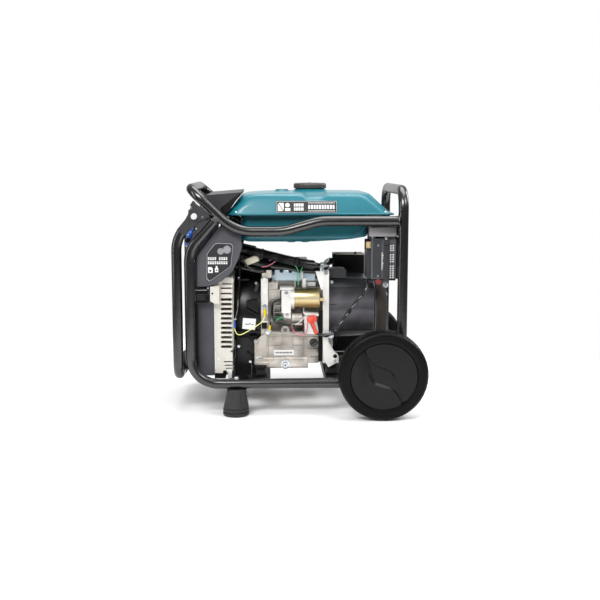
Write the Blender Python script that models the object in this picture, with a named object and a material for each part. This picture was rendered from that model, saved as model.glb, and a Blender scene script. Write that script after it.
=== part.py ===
"""Portable generator, open tube frame, metres, +Z up.

+X is the wheel end, -Y the starter side, and the origin is the centre of the bounding box's base.
"""

import math

import bmesh
import bpy
from mathutils import Matrix, Vector

# Driving dimensions
TUBE_R = 0.0145
RAIL_Y = 0.204
RAIL_Z = 0.0915
FRONT_X = -0.3085
REAR_X = 0.2935
GAP = 0.0004
SHAFT_Z = 0.270
WHEEL_X = 0.2345
WHEEL_R = 0.127
WHEEL_Y = 0.2595
WHEEL_HALF = 0.0325
DISC_R = 0.0935
AXLE_R = 0.008
HANDLE_X = -0.3435
GRIP_Z = 0.1145
PIVOT = (-0.291, 0.570)
TANK_SEAM_Z = 0.5734
CAP_X = 0.039
TILT = math.radians(15.0)

for old in list(bpy.data.objects):
    bpy.data.objects.remove(old, do_unlink=True)


# ---------------------------------------------------------------- helpers
def material(name, rgb, rough=0.5, metal=0.0):
    mat = bpy.data.materials.new(name)
    mat.use_nodes = True
    shader = mat.node_tree.nodes["Principled BSDF"]
    shader.inputs["Base Color"].default_value = (*rgb, 1.0)
    shader.inputs["Roughness"].default_value = rough
    shader.inputs["Metallic"].default_value = metal
    mat.diffuse_color = (*rgb, 1.0)
    return mat


def from_bmesh(name, bm, mat=None, origin=(0, 0, 0)):
    bmesh.ops.remove_doubles(bm, verts=bm.verts, dist=1e-6)
    bmesh.ops.recalc_face_normals(bm, faces=bm.faces)
    bmesh.ops.translate(bm, verts=bm.verts, vec=[-c for c in origin])
    mesh = bpy.data.meshes.new(name)
    bm.to_mesh(mesh)
    bm.free()
    obj = bpy.data.objects.new(name, mesh)
    obj.location = origin
    bpy.context.scene.collection.objects.link(obj)
    if mat:
        mesh.materials.append(material(name, *mat))
    return obj


def loft(name, rings, mat=None, origin=(0, 0, 0), caps=True):
    """Joins equal rings of points in order; a ring of one point is a pole."""
    bm = bmesh.new()
    rows = [[bm.verts.new(p) for p in ring] for ring in rings]
    count = max(len(row) for row in rows)
    for a, b in zip(rows, rows[1:]):
        for i in range(count):
            j = (i + 1) % count
            quad = [a[i % len(a)], a[j % len(a)], b[j % len(b)], b[i % len(b)]]
            corners = list(dict.fromkeys(quad))
            if len(corners) > 2:
                bm.faces.new(corners)
    if caps:
        for row in (rows[0], rows[-1]):
            if len(row) > 2:
                bm.faces.new(row)
    return from_bmesh(name, bm, mat, origin)


def lathe(name, profile, centre, axis="X", mat=None, origin=(0, 0, 0), sides=24):
    """Turns a closed (radius, position) profile about an axis through centre."""
    turn = {"X": (1, 2, 0), "Y": (2, 0, 1), "Z": (0, 1, 2)}[axis]
    bm = bmesh.new()
    rows = []
    for radius, along in profile:
        count = 1 if radius < 1e-7 else sides
        row = []
        for i in range(count):
            angle = 2 * math.pi * i / sides
            point = [0.0, 0.0, 0.0]
            point[turn[0]] = radius * math.cos(angle)
            point[turn[1]] = radius * math.sin(angle)
            point[turn[2]] = along
            row.append(bm.verts.new([c + p for c, p in zip(centre, point)]))
        rows.append(row)
    for a, b in zip(rows, rows[1:] + rows[:1]):
        if len(a) == 1 and len(b) == 1:
            continue
        for i in range(sides):
            j = (i + 1) % sides
            quad = [a[i % len(a)], a[j % len(a)], b[j % len(b)], b[i % len(b)]]
            bm.faces.new(list(dict.fromkeys(quad)))
    return from_bmesh(name, bm, mat, origin)


def rod(name, start, end, radius, mat=None, origin=(0, 0, 0), sides=16):
    """A plain cylinder between two points."""
    start, end = Vector(start), Vector(end)
    turn = (end - start).to_track_quat("Z", "Y")
    rings = []
    for centre in (start, end):
        ring = []
        for i in range(sides):
            angle = 2 * math.pi * (i + 0.5) / sides
            ring.append(centre + turn @ Vector((radius * math.cos(angle), radius * math.sin(angle), 0)))
        rings.append(ring)
    return loft(name, rings, mat, origin)


def prism(name, outline, low, high, axis="Y", mat=None, origin=(0, 0, 0)):
    """Extrudes an outline: XZ along Y, YZ along X or XY along Z."""
    place = {
        "Y": lambda p, t: (p[0], t, p[1]),
        "X": lambda p, t: (t, p[0], p[1]),
        "Z": lambda p, t: (p[0], p[1], t),
    }[axis]
    return loft(name, [[place(p, t) for p in outline] for t in (low, high)], mat, origin)


def box(name, low, high, mat=None, origin=(0, 0, 0)):
    outline = [(low[0], low[2]), (high[0], low[2]), (high[0], high[2]), (low[0], high[2])]
    return prism(name, outline, low[1], high[1], "Y", mat, origin)


def boolean(target, others, operation):
    """Joins or cuts with exact booleans and removes the tools."""
    mesh = target.data
    for other in others:
        mod = target.modifiers.new("cut", "BOOLEAN")
        mod.operation = operation
        mod.solver = "EXACT"
        mod.object = other
        bpy.context.view_layer.update()
        graph = bpy.context.evaluated_depsgraph_get()
        done = bpy.data.meshes.new_from_object(target.evaluated_get(graph))
        target.modifiers.clear()
        target.data = done
        bpy.data.objects.remove(other, do_unlink=True)
    bm = bmesh.new()
    bm.from_mesh(target.data)
    bmesh.ops.remove_doubles(bm, verts=bm.verts, dist=2e-6)
    bmesh.ops.dissolve_degenerate(bm, edges=bm.edges, dist=1e-6)
    bm.to_mesh(target.data)
    bm.free()
    if mesh.materials:
        kept = mesh.materials[0]
        target.data.materials.clear()
        target.data.materials.append(kept)
        target.data.polygons.foreach_set("material_index", [0] * len(target.data.polygons))
    return target


def join(target, others):
    return boolean(target, others, "UNION")


def cut(target, others):
    return boolean(target, others, "DIFFERENCE")


def fillet(points, steps=4):
    """Rounds the corners of a path given as (x, y, z, radius)."""
    path = [Vector(points[0][:3])]
    for before, here, after in zip(points, points[1:], points[2:]):
        corner, radius = Vector(here[:3]), here[3]
        u = (Vector(before[:3]) - corner).normalized()
        v = (Vector(after[:3]) - corner).normalized()
        half = math.acos(max(-1.0, min(1.0, u.dot(v)))) / 2
        back = radius / math.tan(half)
        centre = corner + (u + v).normalized() * (radius / math.sin(half))
        a, b = corner + u * back - centre, corner + v * back - centre
        sweep = math.acos(max(-1.0, min(1.0, a.normalized().dot(b.normalized()))))
        count = max(2, round(steps * sweep / 1.2))
        for i in range(count + 1):
            t = i / count
            arm = (a * math.sin((1 - t) * sweep) + b * math.sin(t * sweep)) / math.sin(sweep)
            path.append(centre + arm)
    path.append(Vector(points[-1][:3]))
    return path


def tube(name, points, radius, mat=None, origin=(0, 0, 0), sides=10, steps=5):
    """A round bar swept along a filleted path."""
    path = fillet(points, steps)
    rings = []
    normal = None
    for i, here in enumerate(path):
        before = path[max(i - 1, 0)]
        after = path[min(i + 1, len(path) - 1)]
        forward = (after - before).normalized()
        if normal is None:
            helper = Vector((0, 0, 1)) if abs(forward.z) < 0.9 else Vector((1, 0, 0))
            normal = forward.cross(helper).normalized()
        normal = (normal - forward * normal.dot(forward)).normalized()
        side = forward.cross(normal)
        widen = 1.0
        if 0 < i < len(path) - 1:
            turn = (here - before).normalized().dot((after - here).normalized())
            widen = 1 / math.cos(math.acos(max(-1.0, min(1.0, turn))) / 2)
        bend = (after - here).normalized() - (here - before).normalized()
        bend = bend.normalized() if bend.length > 1e-6 else None
        ring = []
        for k in range(sides):
            angle = 2 * math.pi * (k + 0.5) / sides
            arm = (normal * math.cos(angle) + side * math.sin(angle)) * radius
            if bend:
                arm += bend * arm.dot(bend) * (widen - 1)
            ring.append(here + arm)
        rings.append(ring)
    return loft(name, rings, mat, origin)


def mirror_path(near):
    """Adds the far half of a path that starts on the near side."""
    far = [(x, -y, z, *rest) for x, y, z, *rest in reversed(near)]
    return near + far


def rounded(x0, x1, y0, y1, radius, steps=4):
    """A rounded rectangle as a list of (x, y)."""
    points = []
    corners = ((x1, y1, 0), (x0, y1, 90), (x0, y0, 180), (x1, y0, 270))
    for cx, cy, start in corners:
        ox = cx - radius if cx == x1 else cx + radius
        oy = cy - radius if cy == y1 else cy + radius
        for i in range(steps + 1):
            angle = math.radians(start + 90 * i / steps)
            points.append((ox + radius * math.cos(angle), oy + radius * math.sin(angle)))
    return points


def ring_at(z, spec, steps=4):
    return [(x, y, z) for x, y in rounded(*spec, steps)]


def side_of(sign, value):
    """Low and high limits of a pair mirrored about the middle plane."""
    return sorted((sign * value[0], sign * value[1]))


def circle(cx, cz, radius, count=16, start=0.0, sweep=360.0):
    steps = count if sweep >= 360.0 else count - 1
    points = []
    for i in range(count):
        angle = math.radians(start + sweep * i / steps)
        points.append((cx + radius * math.cos(angle), cz + radius * math.sin(angle)))
    return points


# ---------------------------------------------------------------- colours
BLACK_STEEL = ((0.022, 0.022, 0.024), 0.42)
RUBBER = ((0.018, 0.018, 0.018), 0.75)
GREY_PLASTIC = ((0.12, 0.12, 0.13), 0.55)
DARK_PLASTIC = ((0.035, 0.035, 0.038), 0.5)
TEAL = ((0.07, 0.36, 0.44), 0.3)
ALUMINIUM = ((0.62, 0.60, 0.57), 0.45, 0.6)
ZINC = ((0.75, 0.75, 0.72), 0.35, 0.9)
GOLD = ((0.72, 0.55, 0.28), 0.35, 0.8)
STEEL = ((0.45, 0.45, 0.46), 0.4, 0.9)

DIAG = Vector((0.6566, 0.7542))
DIAG_OUT = Vector((-0.7542, 0.6566))
KNEE = Vector((FRONT_X, 0.474))


def diag(along, out=0.0):
    """A point beside the sloping part of the front post, as (x, z)."""
    point = KNEE + DIAG * along + DIAG_OUT * out
    return (point.x, point.y)


# ---------------------------------------------------------------- frame
def build_frame():
    top = diag(0.1120)
    near = [
        (top[0], -RAIL_Y, top[1], 0),
        (KNEE.x, -RAIL_Y, KNEE.y, 0.085),
        (FRONT_X, -RAIL_Y, RAIL_Z, 0.078),
        (REAR_X, -RAIL_Y, RAIL_Z, 0.078),
        (REAR_X, -RAIL_Y, 0.6405, 0.055),
    ]
    frame = tube("main_frame", mirror_path(near), TUBE_R, BLACK_STEEL)
    join(frame, axle_lugs())
    near = [
        (REAR_X - TUBE_R - 0.0006, -RAIL_Y, 0.555, 0),
        (0.060, -RAIL_Y, 0.555, 0.15),
        (-0.043, -RAIL_Y, 0.527, 0.15),
        (-0.179, -RAIL_Y, 0.527, 0.12),
        (-0.3025, -RAIL_Y, 0.645, 0.047),
    ]
    tube("upper_rail", mirror_path(near), TUBE_R, BLACK_STEEL)
    for name, x0, x1 in (("front_crossmember", -0.139, -0.082), ("rear_crossmember", 0.078, 0.136)):
        channel = [
            (x0, 0.078), (x0 + 0.003, 0.078), (x0 + 0.003, 0.0987), (x1 - 0.003, 0.0987),
            (x1 - 0.003, 0.078), (x1, 0.078), (x1, 0.1017), (x0, 0.1017),
        ]
        prism(name, channel, -0.1890, 0.1890, "Y", BLACK_STEEL)
    foot = [
        (0.0, 0.0), (0.033, 0.0), (0.0375, 0.004), (0.0375, 0.011), (0.0355, 0.013), (0.0372, 0.016),
        (0.0372, 0.022), (0.0345, 0.024), (0.0265, 0.066), (0.0255, 0.0765), (0.0, 0.0765),
    ]
    for name, sign in (("foot_near", -1), ("foot_far", 1)):
        lathe(name, foot, (-0.181, sign * 0.202, 0.0), "Z", RUBBER, sides=20)


def axle_lugs():
    """Two bored plates welded inside the lower bends."""
    outline = [
        (0.209, 0.086), (0.262, 0.096), (0.262, 0.140), (0.250, 0.152), (0.219, 0.152), (0.207, 0.140),
    ]
    plates = []
    for sign in (-1, 1):
        low, high = side_of(sign, (0.1850, 0.1960))
        plate = prism("lug", outline, low, high)
        hole = rod("hole", (WHEEL_X, low - 0.01, WHEEL_R), (WHEEL_X, high + 0.01, WHEEL_R), AXLE_R + GAP)
        plates.append(cut(plate, [hole]))
    return plates


def build_axle():
    rod("axle", (WHEEL_X, -0.2805, WHEEL_R), (WHEEL_X, 0.2805, WHEEL_R), AXLE_R, STEEL)


def build_wheels():
    half = WHEEL_HALF
    tyre = [
        (0.0942, -0.0285), (0.0990, -0.0315), (0.1060, -half), (0.1170, -0.0310), (0.1240, -0.0250),
        (WHEEL_R, -0.0130), (WHEEL_R, 0.0130), (0.1240, 0.0250), (0.1170, 0.0310), (0.1060, half),
        (0.0990, 0.0315), (0.0942, 0.0285),
    ]
    disc = [
        (0.0, -0.0295), (0.050, -0.0290), (0.0885, -0.0272), (DISC_R, -0.0240), (DISC_R, 0.0270),
        (0.0885, 0.0270), (0.0885, -0.0195), (0.024, -0.0215), (0.0185, -0.0190), (0.0185, 0.0325),
        (AXLE_R + GAP, 0.0325), (AXLE_R + GAP, -0.0220), (0.0, -0.0220),
    ]
    for side, sign in (("near", 1), ("far", -1)):
        hub = (WHEEL_X, -sign * WHEEL_Y, WHEEL_R)
        parts = (("tyre", tyre, RUBBER, 32), ("wheel_disc", disc, DARK_PLASTIC, 24))
        for part, profile, mat, sides in parts:
            turned = [(r, t * sign) for r, t in profile]
            lathe(f"{part}_{side}", turned, hub, "Y", mat, hub, sides)


# ---------------------------------------------------------------- pull handle
def build_handle():
    arm_knee = (HANDLE_X, 0.5084)
    arm_top = (arm_knee[0] + DIAG.x * 0.050, arm_knee[1] + DIAG.y * 0.050)
    origin = (PIVOT[0], 0.0, PIVOT[1])
    near = [
        (arm_top[0], -RAIL_Y, arm_top[1], 0),
        (arm_knee[0], -RAIL_Y, arm_knee[1], 0.095),
        (HANDLE_X, -RAIL_Y, GRIP_Z, 0.042),
    ]
    handle = tube("pull_handle", mirror_path(near), TUBE_R, BLACK_STEEL, origin)
    outline = [
        (-0.340, 0.533), (-0.319, 0.516), (-0.294, 0.540), (-0.284, 0.552), (-0.263, 0.562), (-0.248, 0.570),
        (-0.262, 0.588), (-0.284, 0.604), (-0.290, 0.614), (-0.302, 0.601), (-0.306, 0.592), (-0.308, 0.576),
        (-0.315, 0.563),
    ]
    pad = [(-0.3335, 0.5275), (-0.3205, 0.5175), (-0.3075, 0.5330), (-0.3205, 0.5430)]
    for sign in (-1, 1):
        low, high = side_of(sign, (0.2190, 0.2225))
        plate = prism("plate", outline, low, high)
        ends = side_of(sign, (0.185, 0.240))
        hole = rod("hole", (PIVOT[0], ends[0], PIVOT[1]), (PIVOT[0], ends[1], PIVOT[1]), 0.0054, sides=12)
        cut(plate, [hole])
        low, high = side_of(sign, (0.2110, 0.2200))
        join(handle, [plate, prism("pad", pad, low, high)])
    grip = [
        (TUBE_R + GAP, -0.110), (0.0175, -0.110), (0.018, -0.108), (0.018, 0.108), (0.0175, 0.110),
        (TUBE_R + GAP, 0.110),
    ]
    lathe("handle_grip", grip, (HANDLE_X, 0.0, GRIP_Z), "Y", RUBBER, origin, 16)
    hull = [diag(0.060, 0.0112), diag(0.100, 0.0112)]
    hull += circle(PIVOT[0], PIVOT[1], 0.017, 9, 20.0, 180.0)
    for name, sign in (("handle_bracket_near", -1), ("handle_bracket_far", 1)):
        low, high = side_of(sign, (0.2148, 0.2185))
        plate = prism(name, hull, low, high, "Y", BLACK_STEEL)
        pin = [
            (0.0, 0.2160), (0.0048, 0.2160), (0.0048, 0.2229), (0.0085, 0.2229), (0.0085, 0.2275),
            (0.0, 0.2290),
        ]
        turned = [(r, t * sign) for r, t in pin]
        join(plate, [lathe("pin", turned, (PIVOT[0], 0, PIVOT[1]), "Y", sides=12)])


# ---------------------------------------------------------------- fuel tank
def build_tank():
    z = TANK_SEAM_Z + 0.0002
    outer = [
        (0.6335, (-0.070, 0.188, -0.122, 0.122, 0.045)),
        (0.6308, (-0.118, 0.202, -0.150, 0.150, 0.045)),
        (0.6245, (-0.1600, 0.2105, -0.1670, 0.1670, 0.042)),
        (0.6000, (-0.1830, 0.2355, -0.1795, 0.1795, 0.036)),
        (0.5820, (-0.1962, 0.2550, -0.1868, 0.1868, 0.030)),
        (z + 0.0020, (-0.1965, 0.2570, -0.1870, 0.1870, 0.030)),
        (z + 0.0020, (-0.2000, 0.2715, -0.1960, 0.1960, 0.030)),
        (z, (-0.2000, 0.2715, -0.1960, 0.1960, 0.030)),
    ]
    inner = [
        (z, (-0.1940, 0.2545, -0.1845, 0.1845, 0.028)),
        (0.5985, (-0.1805, 0.2330, -0.1770, 0.1770, 0.034)),
        (0.6225, (-0.1575, 0.2075, -0.1640, 0.1640, 0.040)),
        (0.6283, (-0.1165, 0.2000, -0.1480, 0.1480, 0.043)),
        (0.6310, (-0.0700, 0.1870, -0.1200, 0.1200, 0.043)),
    ]
    rings = [ring_at(h, spec, 3) for h, spec in outer + inner]
    upper = loft("tank_upper", rings, TEAL)
    boss = [(0.0, 0.6320), (0.0540, 0.6320), (0.0460, 0.6385), (0.0400, 0.6410), (0.0, 0.6410)]
    join(upper, [lathe("boss", boss, (CAP_X, 0, 0), "Z")])
    cut(upper, [rod("bore", (CAP_X, 0, 0.60), (CAP_X, 0, 0.66), 0.0345, sides=24)])
    z = TANK_SEAM_Z - 0.0002
    outer = [
        (z, (-0.2000, 0.2715, -0.1960, 0.1960, 0.030)),
        (z - 0.0022, (-0.2000, 0.2715, -0.1960, 0.1960, 0.030)),
        (z - 0.0030, (-0.1640, 0.1972, -0.1700, 0.1700, 0.026)),
        (0.5120, (-0.1640, 0.1972, -0.1700, 0.1700, 0.026)),
        (0.5078, (-0.1635, 0.1920, -0.1695, 0.1695, 0.026)),
        (0.5045, (-0.1625, 0.1740, -0.1680, 0.1680, 0.026)),
        (0.5005, (-0.1600, 0.1480, -0.1640, 0.1640, 0.026)),
        (0.4960, (-0.1540, 0.0880, -0.1560, 0.1560, 0.026)),
        (0.4932, (-0.1400, 0.0500, -0.1400, 0.1400, 0.026)),
    ]
    inner = [
        (0.4985, (-0.1400, 0.0800, -0.1400, 0.1400, 0.026)),
        (0.5070, (-0.1600, 0.1600, -0.1640, 0.1640, 0.026)),
        (0.5125, (-0.1615, 0.1930, -0.1675, 0.1675, 0.026)),
        (z, (-0.1615, 0.1948, -0.1675, 0.1675, 0.026)),
    ]
    rings = [ring_at(h, spec, 3) for h, spec in inner + outer]
    loft("tank_lower", rings, TEAL)


def build_fuel_cap():
    origin = (CAP_X, 0.0, 0.6414)
    cap = [
        (0.0, 0.6270), (0.0300, 0.6270), (0.0300, 0.6414), (0.0470, 0.6414), (0.0490, 0.6430),
        (0.0490, 0.6540),
        (0.0460, 0.6570), (0.0250, 0.6582), (0.0, 0.6585),
    ]
    body = lathe("fuel_cap", cap, (CAP_X, 0, 0), "Z", DARK_PLASTIC, origin, 32)
    low = (CAP_X - 0.004, 0.0455, 0.6440)
    high = (CAP_X + 0.004, 0.0518, 0.6530)
    join(body, [box("lug", low, high)])
    gauge = [(0.0, 0.6339), (0.0190, 0.6339), (0.0190, 0.6375), (0.0165, 0.6395), (0.0, 0.6395)]
    lathe("fuel_gauge", gauge, (-0.0450, 0, 0), "Z", DARK_PLASTIC, sides=20)


# ---------------------------------------------------------------- control panel end
def on_panel(height, out):
    """Point on the leaning part of the panel at a height, moved out along its normal."""
    x = -0.3005 + (height - 0.425) * math.tan(TILT)
    return (x - out * math.cos(TILT), height + out * math.sin(TILT))


def panel_disc(name, y, height, radius, inside, outside, mat=None, origin=(0, 0, 0), sides=20):
    a, b = on_panel(height, inside), on_panel(height, outside)
    return rod(name, (a[0], y, a[1]), (b[0], y, b[1]), radius, mat, origin, sides)


LIDS = (
    ("outlet_lid_near", -0.125, 0.494, (0.05, 0.17, 0.50)),
    ("outlet_lid_far", -0.045, 0.494, (0.02, 0.02, 0.022)),
)
KEY = [(0.0, -0.002), (0.013, -0.002), (0.013, 0.006), (0.008, 0.008), (0.008, 0.018), (0.0, 0.018)]
SELECTOR = [(0.0, -0.002), (0.021, -0.002), (0.021, 0.004), (0.0165, 0.006), (0.0155, 0.016), (0.0, 0.016)]
KNOBS = (("key_switch", 0.120, 0.470, KEY), ("fuel_selector", 0.055, 0.470, SELECTOR))


def build_panel():
    top = (-0.2695, 0.5405)
    skin = [
        (-0.3005, 0.135), (-0.2980, 0.135), (-0.2980, 0.4247), (top[0] + 0.0024, top[1] - 0.0007), top,
        (-0.3005, 0.425),
    ]
    panel = prism("control_panel", skin, -0.168, 0.168, "Y", GREY_PLASTIC)
    join(panel, [panel_disc("socket", y, z, 0.0235, -0.001, 0.0270) for _, y, z, _ in LIDS])
    for name, y, z, rgb in LIDS:
        hinge = on_panel(z, 0.0305)
        hinge = (hinge[0] + math.sin(TILT) * 0.027, hinge[1] + math.cos(TILT) * 0.027)
        lid = panel_disc(name, y, z, 0.0262, 0.0275, 0.0390, (rgb, 0.4), (hinge[0], y, hinge[1]))
        ear = rod("ear", (hinge[0], y - 0.011, hinge[1]), (hinge[0], y + 0.011, hinge[1]), 0.0034, sides=10)
        join(lid, [moved(ear, (hinge[0], y, hinge[1]))])
    for name, y, z, profile in KNOBS:
        build_knob(name, y, z, profile)
    build_housing()


def moved(obj, origin):
    """Shifts an object's origin without moving its shape."""
    shift = Vector(origin) - obj.location
    for vert in obj.data.vertices:
        vert.co -= shift
    obj.location = origin
    return obj


def build_knob(name, y, z, profile):
    """A turning knob on the leaning part of the panel, its axis along the panel's normal."""
    seat = on_panel(z, 0.0026)
    normal = Vector((-math.cos(TILT), 0, math.sin(TILT)))
    turn = normal.to_track_quat("Z", "Y").to_matrix().to_4x4()
    knob = lathe(name, profile, (0, 0, 0), "Z", DARK_PLASTIC, sides=20)
    knob.data.transform(turn)
    low = [p[1] for p in profile]
    wing = box("wing", (-0.0028, -0.0125, max(low) - 0.009), (0.0028, 0.0125, max(low) + 0.003))
    wing.data.transform(turn)
    join(knob, [wing])
    knob.location = (seat[0], y, seat[1])


def build_housing():
    outline = [(-0.2975, 0.108), (-0.2975, 0.4240), (-0.2668, 0.5385), (-0.2438, 0.5385), (-0.2438, 0.108)]
    housing = prism("panel_housing", outline, -0.172, 0.172, "Y", GREY_PLASTIC)
    hollow = [(-0.320, 0.1115), (-0.320, 0.5350), (-0.2473, 0.5350), (-0.2473, 0.1115)]
    cut(housing, [prism("hollow", hollow, -0.1685, 0.1685)])
    for sign in (-1, 1):
        low, high = side_of(sign, (0.1715, 0.1888))
        join(housing, [box("block", (-0.2975, low, 0.321), (-0.2545, high, 0.361))])
    cover = [
        (-0.289, 0.369), (-0.252, 0.370), (-0.218, 0.386), (-0.189, 0.411), (-0.172, 0.445), (-0.160, 0.482),
        (-0.163, 0.516), (-0.176, 0.530), (-0.205, 0.547), (-0.227, 0.536), (-0.287, 0.457),
    ]
    centre = (-0.225, 0.455)
    inset = [(centre[0] + (x - centre[0]) * 0.95, centre[1] + (z - centre[1]) * 0.95) for x, z in cover]
    for name, sign in (("side_cover_near", -1), ("side_cover_far", 1)):
        low, high = side_of(sign, (0.1725, 0.1872))
        body = prism(name, cover, low, high, "Y", GREY_PLASTIC)
        low, high = side_of(sign, (0.1600, 0.1845))
        cut(body, [prism("hollow", inset, low, high)])
    wedge = [
        (-0.262, 0.6265), (-0.1625, 0.6345), (-0.1645, 0.6250), (-0.1875, 0.6000), (-0.2005, 0.5815),
        (-0.2035, 0.5770), (-0.2035, 0.5660), (-0.226, 0.5560), (-0.262, 0.552),
    ]
    shroud = prism("top_shroud", wedge, -0.185, 0.185, "Y", DARK_PLASTIC)
    hollow = [
        (-0.2595, 0.6240), (-0.1700, 0.6310), (-0.1900, 0.6010), (-0.2030, 0.5830), (-0.2060, 0.5775),
        (-0.2060, 0.50), (-0.2595, 0.50),
    ]
    cut(shroud, [prism("hollow", hollow, -0.1825, 0.1825)])


def build_heatsink():
    """Cast plate with fins that run along Y."""
    outline = [(-0.2434, 0.114), (-0.1900, 0.114)]
    z = 0.114
    slots = [(0.1255, 0.1315), (0.1385, 0.1445), (0.1515, 0.1575)]
    slots += [(0.1880 + 0.01315 * i, 0.1945 + 0.01315 * i) for i in range(14)]
    for low, high in slots:
        lean = 0.0045 * (low - z) / 0.278
        outline += [(-0.1900 + lean, low), (-0.2235, low), (-0.2235, high), (-0.1900 + lean, high)]
    outline += [(-0.1850, 0.385), (-0.1900, 0.3925), (-0.2434, 0.3925)]
    prism("inverter_heatsink", outline, -0.165, 0.165, "Y", ALUMINIUM)


# ---------------------------------------------------------------- engine
def build_crankcase():
    sump = [
        (-0.100, 0.120), (0.029, 0.120), (0.029, 0.1345), (0.058, 0.1345), (0.064, 0.1400), (0.064, 0.222),
        (0.058, 0.228), (-0.094, 0.228), (-0.106, 0.214), (-0.106, 0.142),
    ]
    case = prism("crankcase", sump, -0.130, 0.130, "Y", ALUMINIUM)
    barrel = [(0.0, -0.095), (0.098, -0.095), (0.098, 0.0712), (0.0, 0.0712)]
    body = lathe("barrel", barrel, (0, 0, SHAFT_Z), "X", sides=28)
    rim = [(0.0, -0.109), (0.1300, -0.109), (0.1300, -0.084), (0.0, -0.084)]
    flange = lathe("flange", rim, (0, 0, SHAFT_Z), "X", sides=32)
    feet = []
    for sign in (-1, 1):
        low, high = side_of(sign, (0.1185, 0.1610))
        feet.append(box("foot", (-0.128, low, 0.1365), (-0.090, high, 0.1455)))
        low, high = side_of(sign, (0.1190, 0.1299))
        cheek = [(-0.128, 0.1370), (-0.128, 0.197), (-0.108, 0.217), (-0.095, 0.217), (-0.095, 0.1370)]
        feet.append(prism("cheek", cheek, low, high))
    cylinder = box("cylinder", (-0.062, 0.0, -0.050), (0.047, 0.1345, 0.050))
    cylinder.data.transform(Matrix.Translation((0, 0, SHAFT_Z)) @ Matrix.Rotation(math.radians(25), 4, "X"))
    drive = box("drive", (-0.086, -0.1270, 0.290), (-0.0525, -0.060, 0.352))
    join(case, [body, flange, cylinder, drive] + feet)
    room = rod("room", (-0.072, 0, SHAFT_Z), (0.052, 0, SHAFT_Z), 0.074, sides=24)
    bore = rod("bore", (-0.130, 0, SHAFT_Z), (0.090, 0, SHAFT_Z), 0.0130, sides=16)
    cut(case, [room, bore])
    head = box("cylinder_head", (-0.060, 0.1349, -0.054), (0.045, 0.1830, 0.054), ALUMINIUM)
    head.data.transform(Matrix.Translation((0, 0, SHAFT_Z)) @ Matrix.Rotation(math.radians(25), 4, "X"))


def build_engine_parts():
    teeth = [(-0.076, 0.3745), (0.051, 0.3745), (0.051, 0.4060)]
    for x in (0.030, 0.004, -0.022, -0.048):
        teeth += [(x + 0.006, 0.4060), (x + 0.004, 0.3970), (x - 0.004, 0.3970), (x - 0.006, 0.4060)]
    teeth += [(-0.076, 0.4060)]
    prism("cylinder_shroud", teeth, -0.094, -0.056, "Y", ZINC)
    start = (0, -0.1180, 0.328)
    can = [
        (0.0, -0.0215), (0.0255, -0.0215), (0.0295, -0.0205), (0.0295, 0.0600), (0.0285, 0.0625),
        (0.0080, 0.0625), (0.0080, 0.0680), (0.0, 0.0680),
    ]
    motor = lathe("starter_motor", can, start, "X", GOLD, sides=28)
    nose = [(-0.1475, 0.266), (-0.0995, 0.266), (-0.0995, 0.358), (-0.140, 0.360), (-0.1475, 0.352)]
    join(motor, [prism("nose", nose, -0.0520, -0.0205, "X")])
    coil = [
        (0.0, -0.0200), (0.0130, -0.0200), (0.0130, 0.0130), (0.0060, 0.0130), (0.0060, 0.0180),
        (0.0, 0.0180),
    ]
    lathe("starter_solenoid", coil, (0, -0.1340, 0.270), "X", ZINC, sides=16)
    knob = [
        (0.0, -0.1304), (0.0100, -0.1304), (0.0130, -0.1330), (0.0130, -0.1400), (0.0110, -0.1430),
        (0.0, -0.1430),
    ]
    cap = lathe("oil_filler_cap", knob, (0.045, 0, 0.196), "Y", DARK_PLASTIC, (0.045, -0.1304, 0.196), 20)
    wing = box("wing", (0.0355, -0.1510, 0.1930), (0.0545, -0.1400, 0.1990))
    join(cap, [moved(wing, (0.045, -0.1304, 0.196))])
    outline = circle(0.0, SHAFT_Z, 0.1350, 17, 0.0, 180.0)
    outline += [(-0.1310, 0.238), (-0.1125, 0.208), (-0.1125, 0.128), (-0.0980, 0.113)]
    outline += [(0.0980, 0.113), (0.1125, 0.128), (0.1125, 0.208), (0.1310, 0.238)]
    blower = prism("blower_housing", outline, -0.1840, -0.1096, "X", DARK_PLASTIC)
    inside = rod("inside", (-0.1810, 0, SHAFT_Z), (-0.1000, 0, SHAFT_Z), 0.1180, sides=32)
    eye = rod("eye", (-0.2000, 0, SHAFT_Z), (-0.1500, 0, SHAFT_Z), 0.0550, sides=24)
    cut(blower, [inside, eye])


def build_intake_exhaust():
    box("air_filter_box", (-0.083, 0.028, 0.3985), (0.035, 0.156, 0.4205), DARK_PLASTIC)
    box("carburettor", (-0.0832, 0.100, 0.340), (-0.0630, 0.150, 0.3980), ALUMINIUM)
    outline = [(y, z) for y, z in rounded(0.0860, 0.1440, 0.3890, 0.4290, 0.014, 2)]
    drum = prism("muffler", outline, 0.123, 0.207, "X", STEEL)
    pipe = [
        (0.0460, 0.150, 0.352, 0), (0.095, 0.150, 0.352, 0.016), (0.097, 0.125, 0.409, 0.016),
        (0.128, 0.125, 0.409, 0),
    ]
    join(drum, [tube("pipe", pipe, 0.011, sides=12)])
    guard = box("muffler_guard", (0.117, 0.0785, 0.3840), (0.2130, 0.1520, 0.4360), DARK_PLASTIC)
    cut(guard, [box("space", (0.100, 0.0805, 0.370), (0.2110, 0.1500, 0.4340))])


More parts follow.
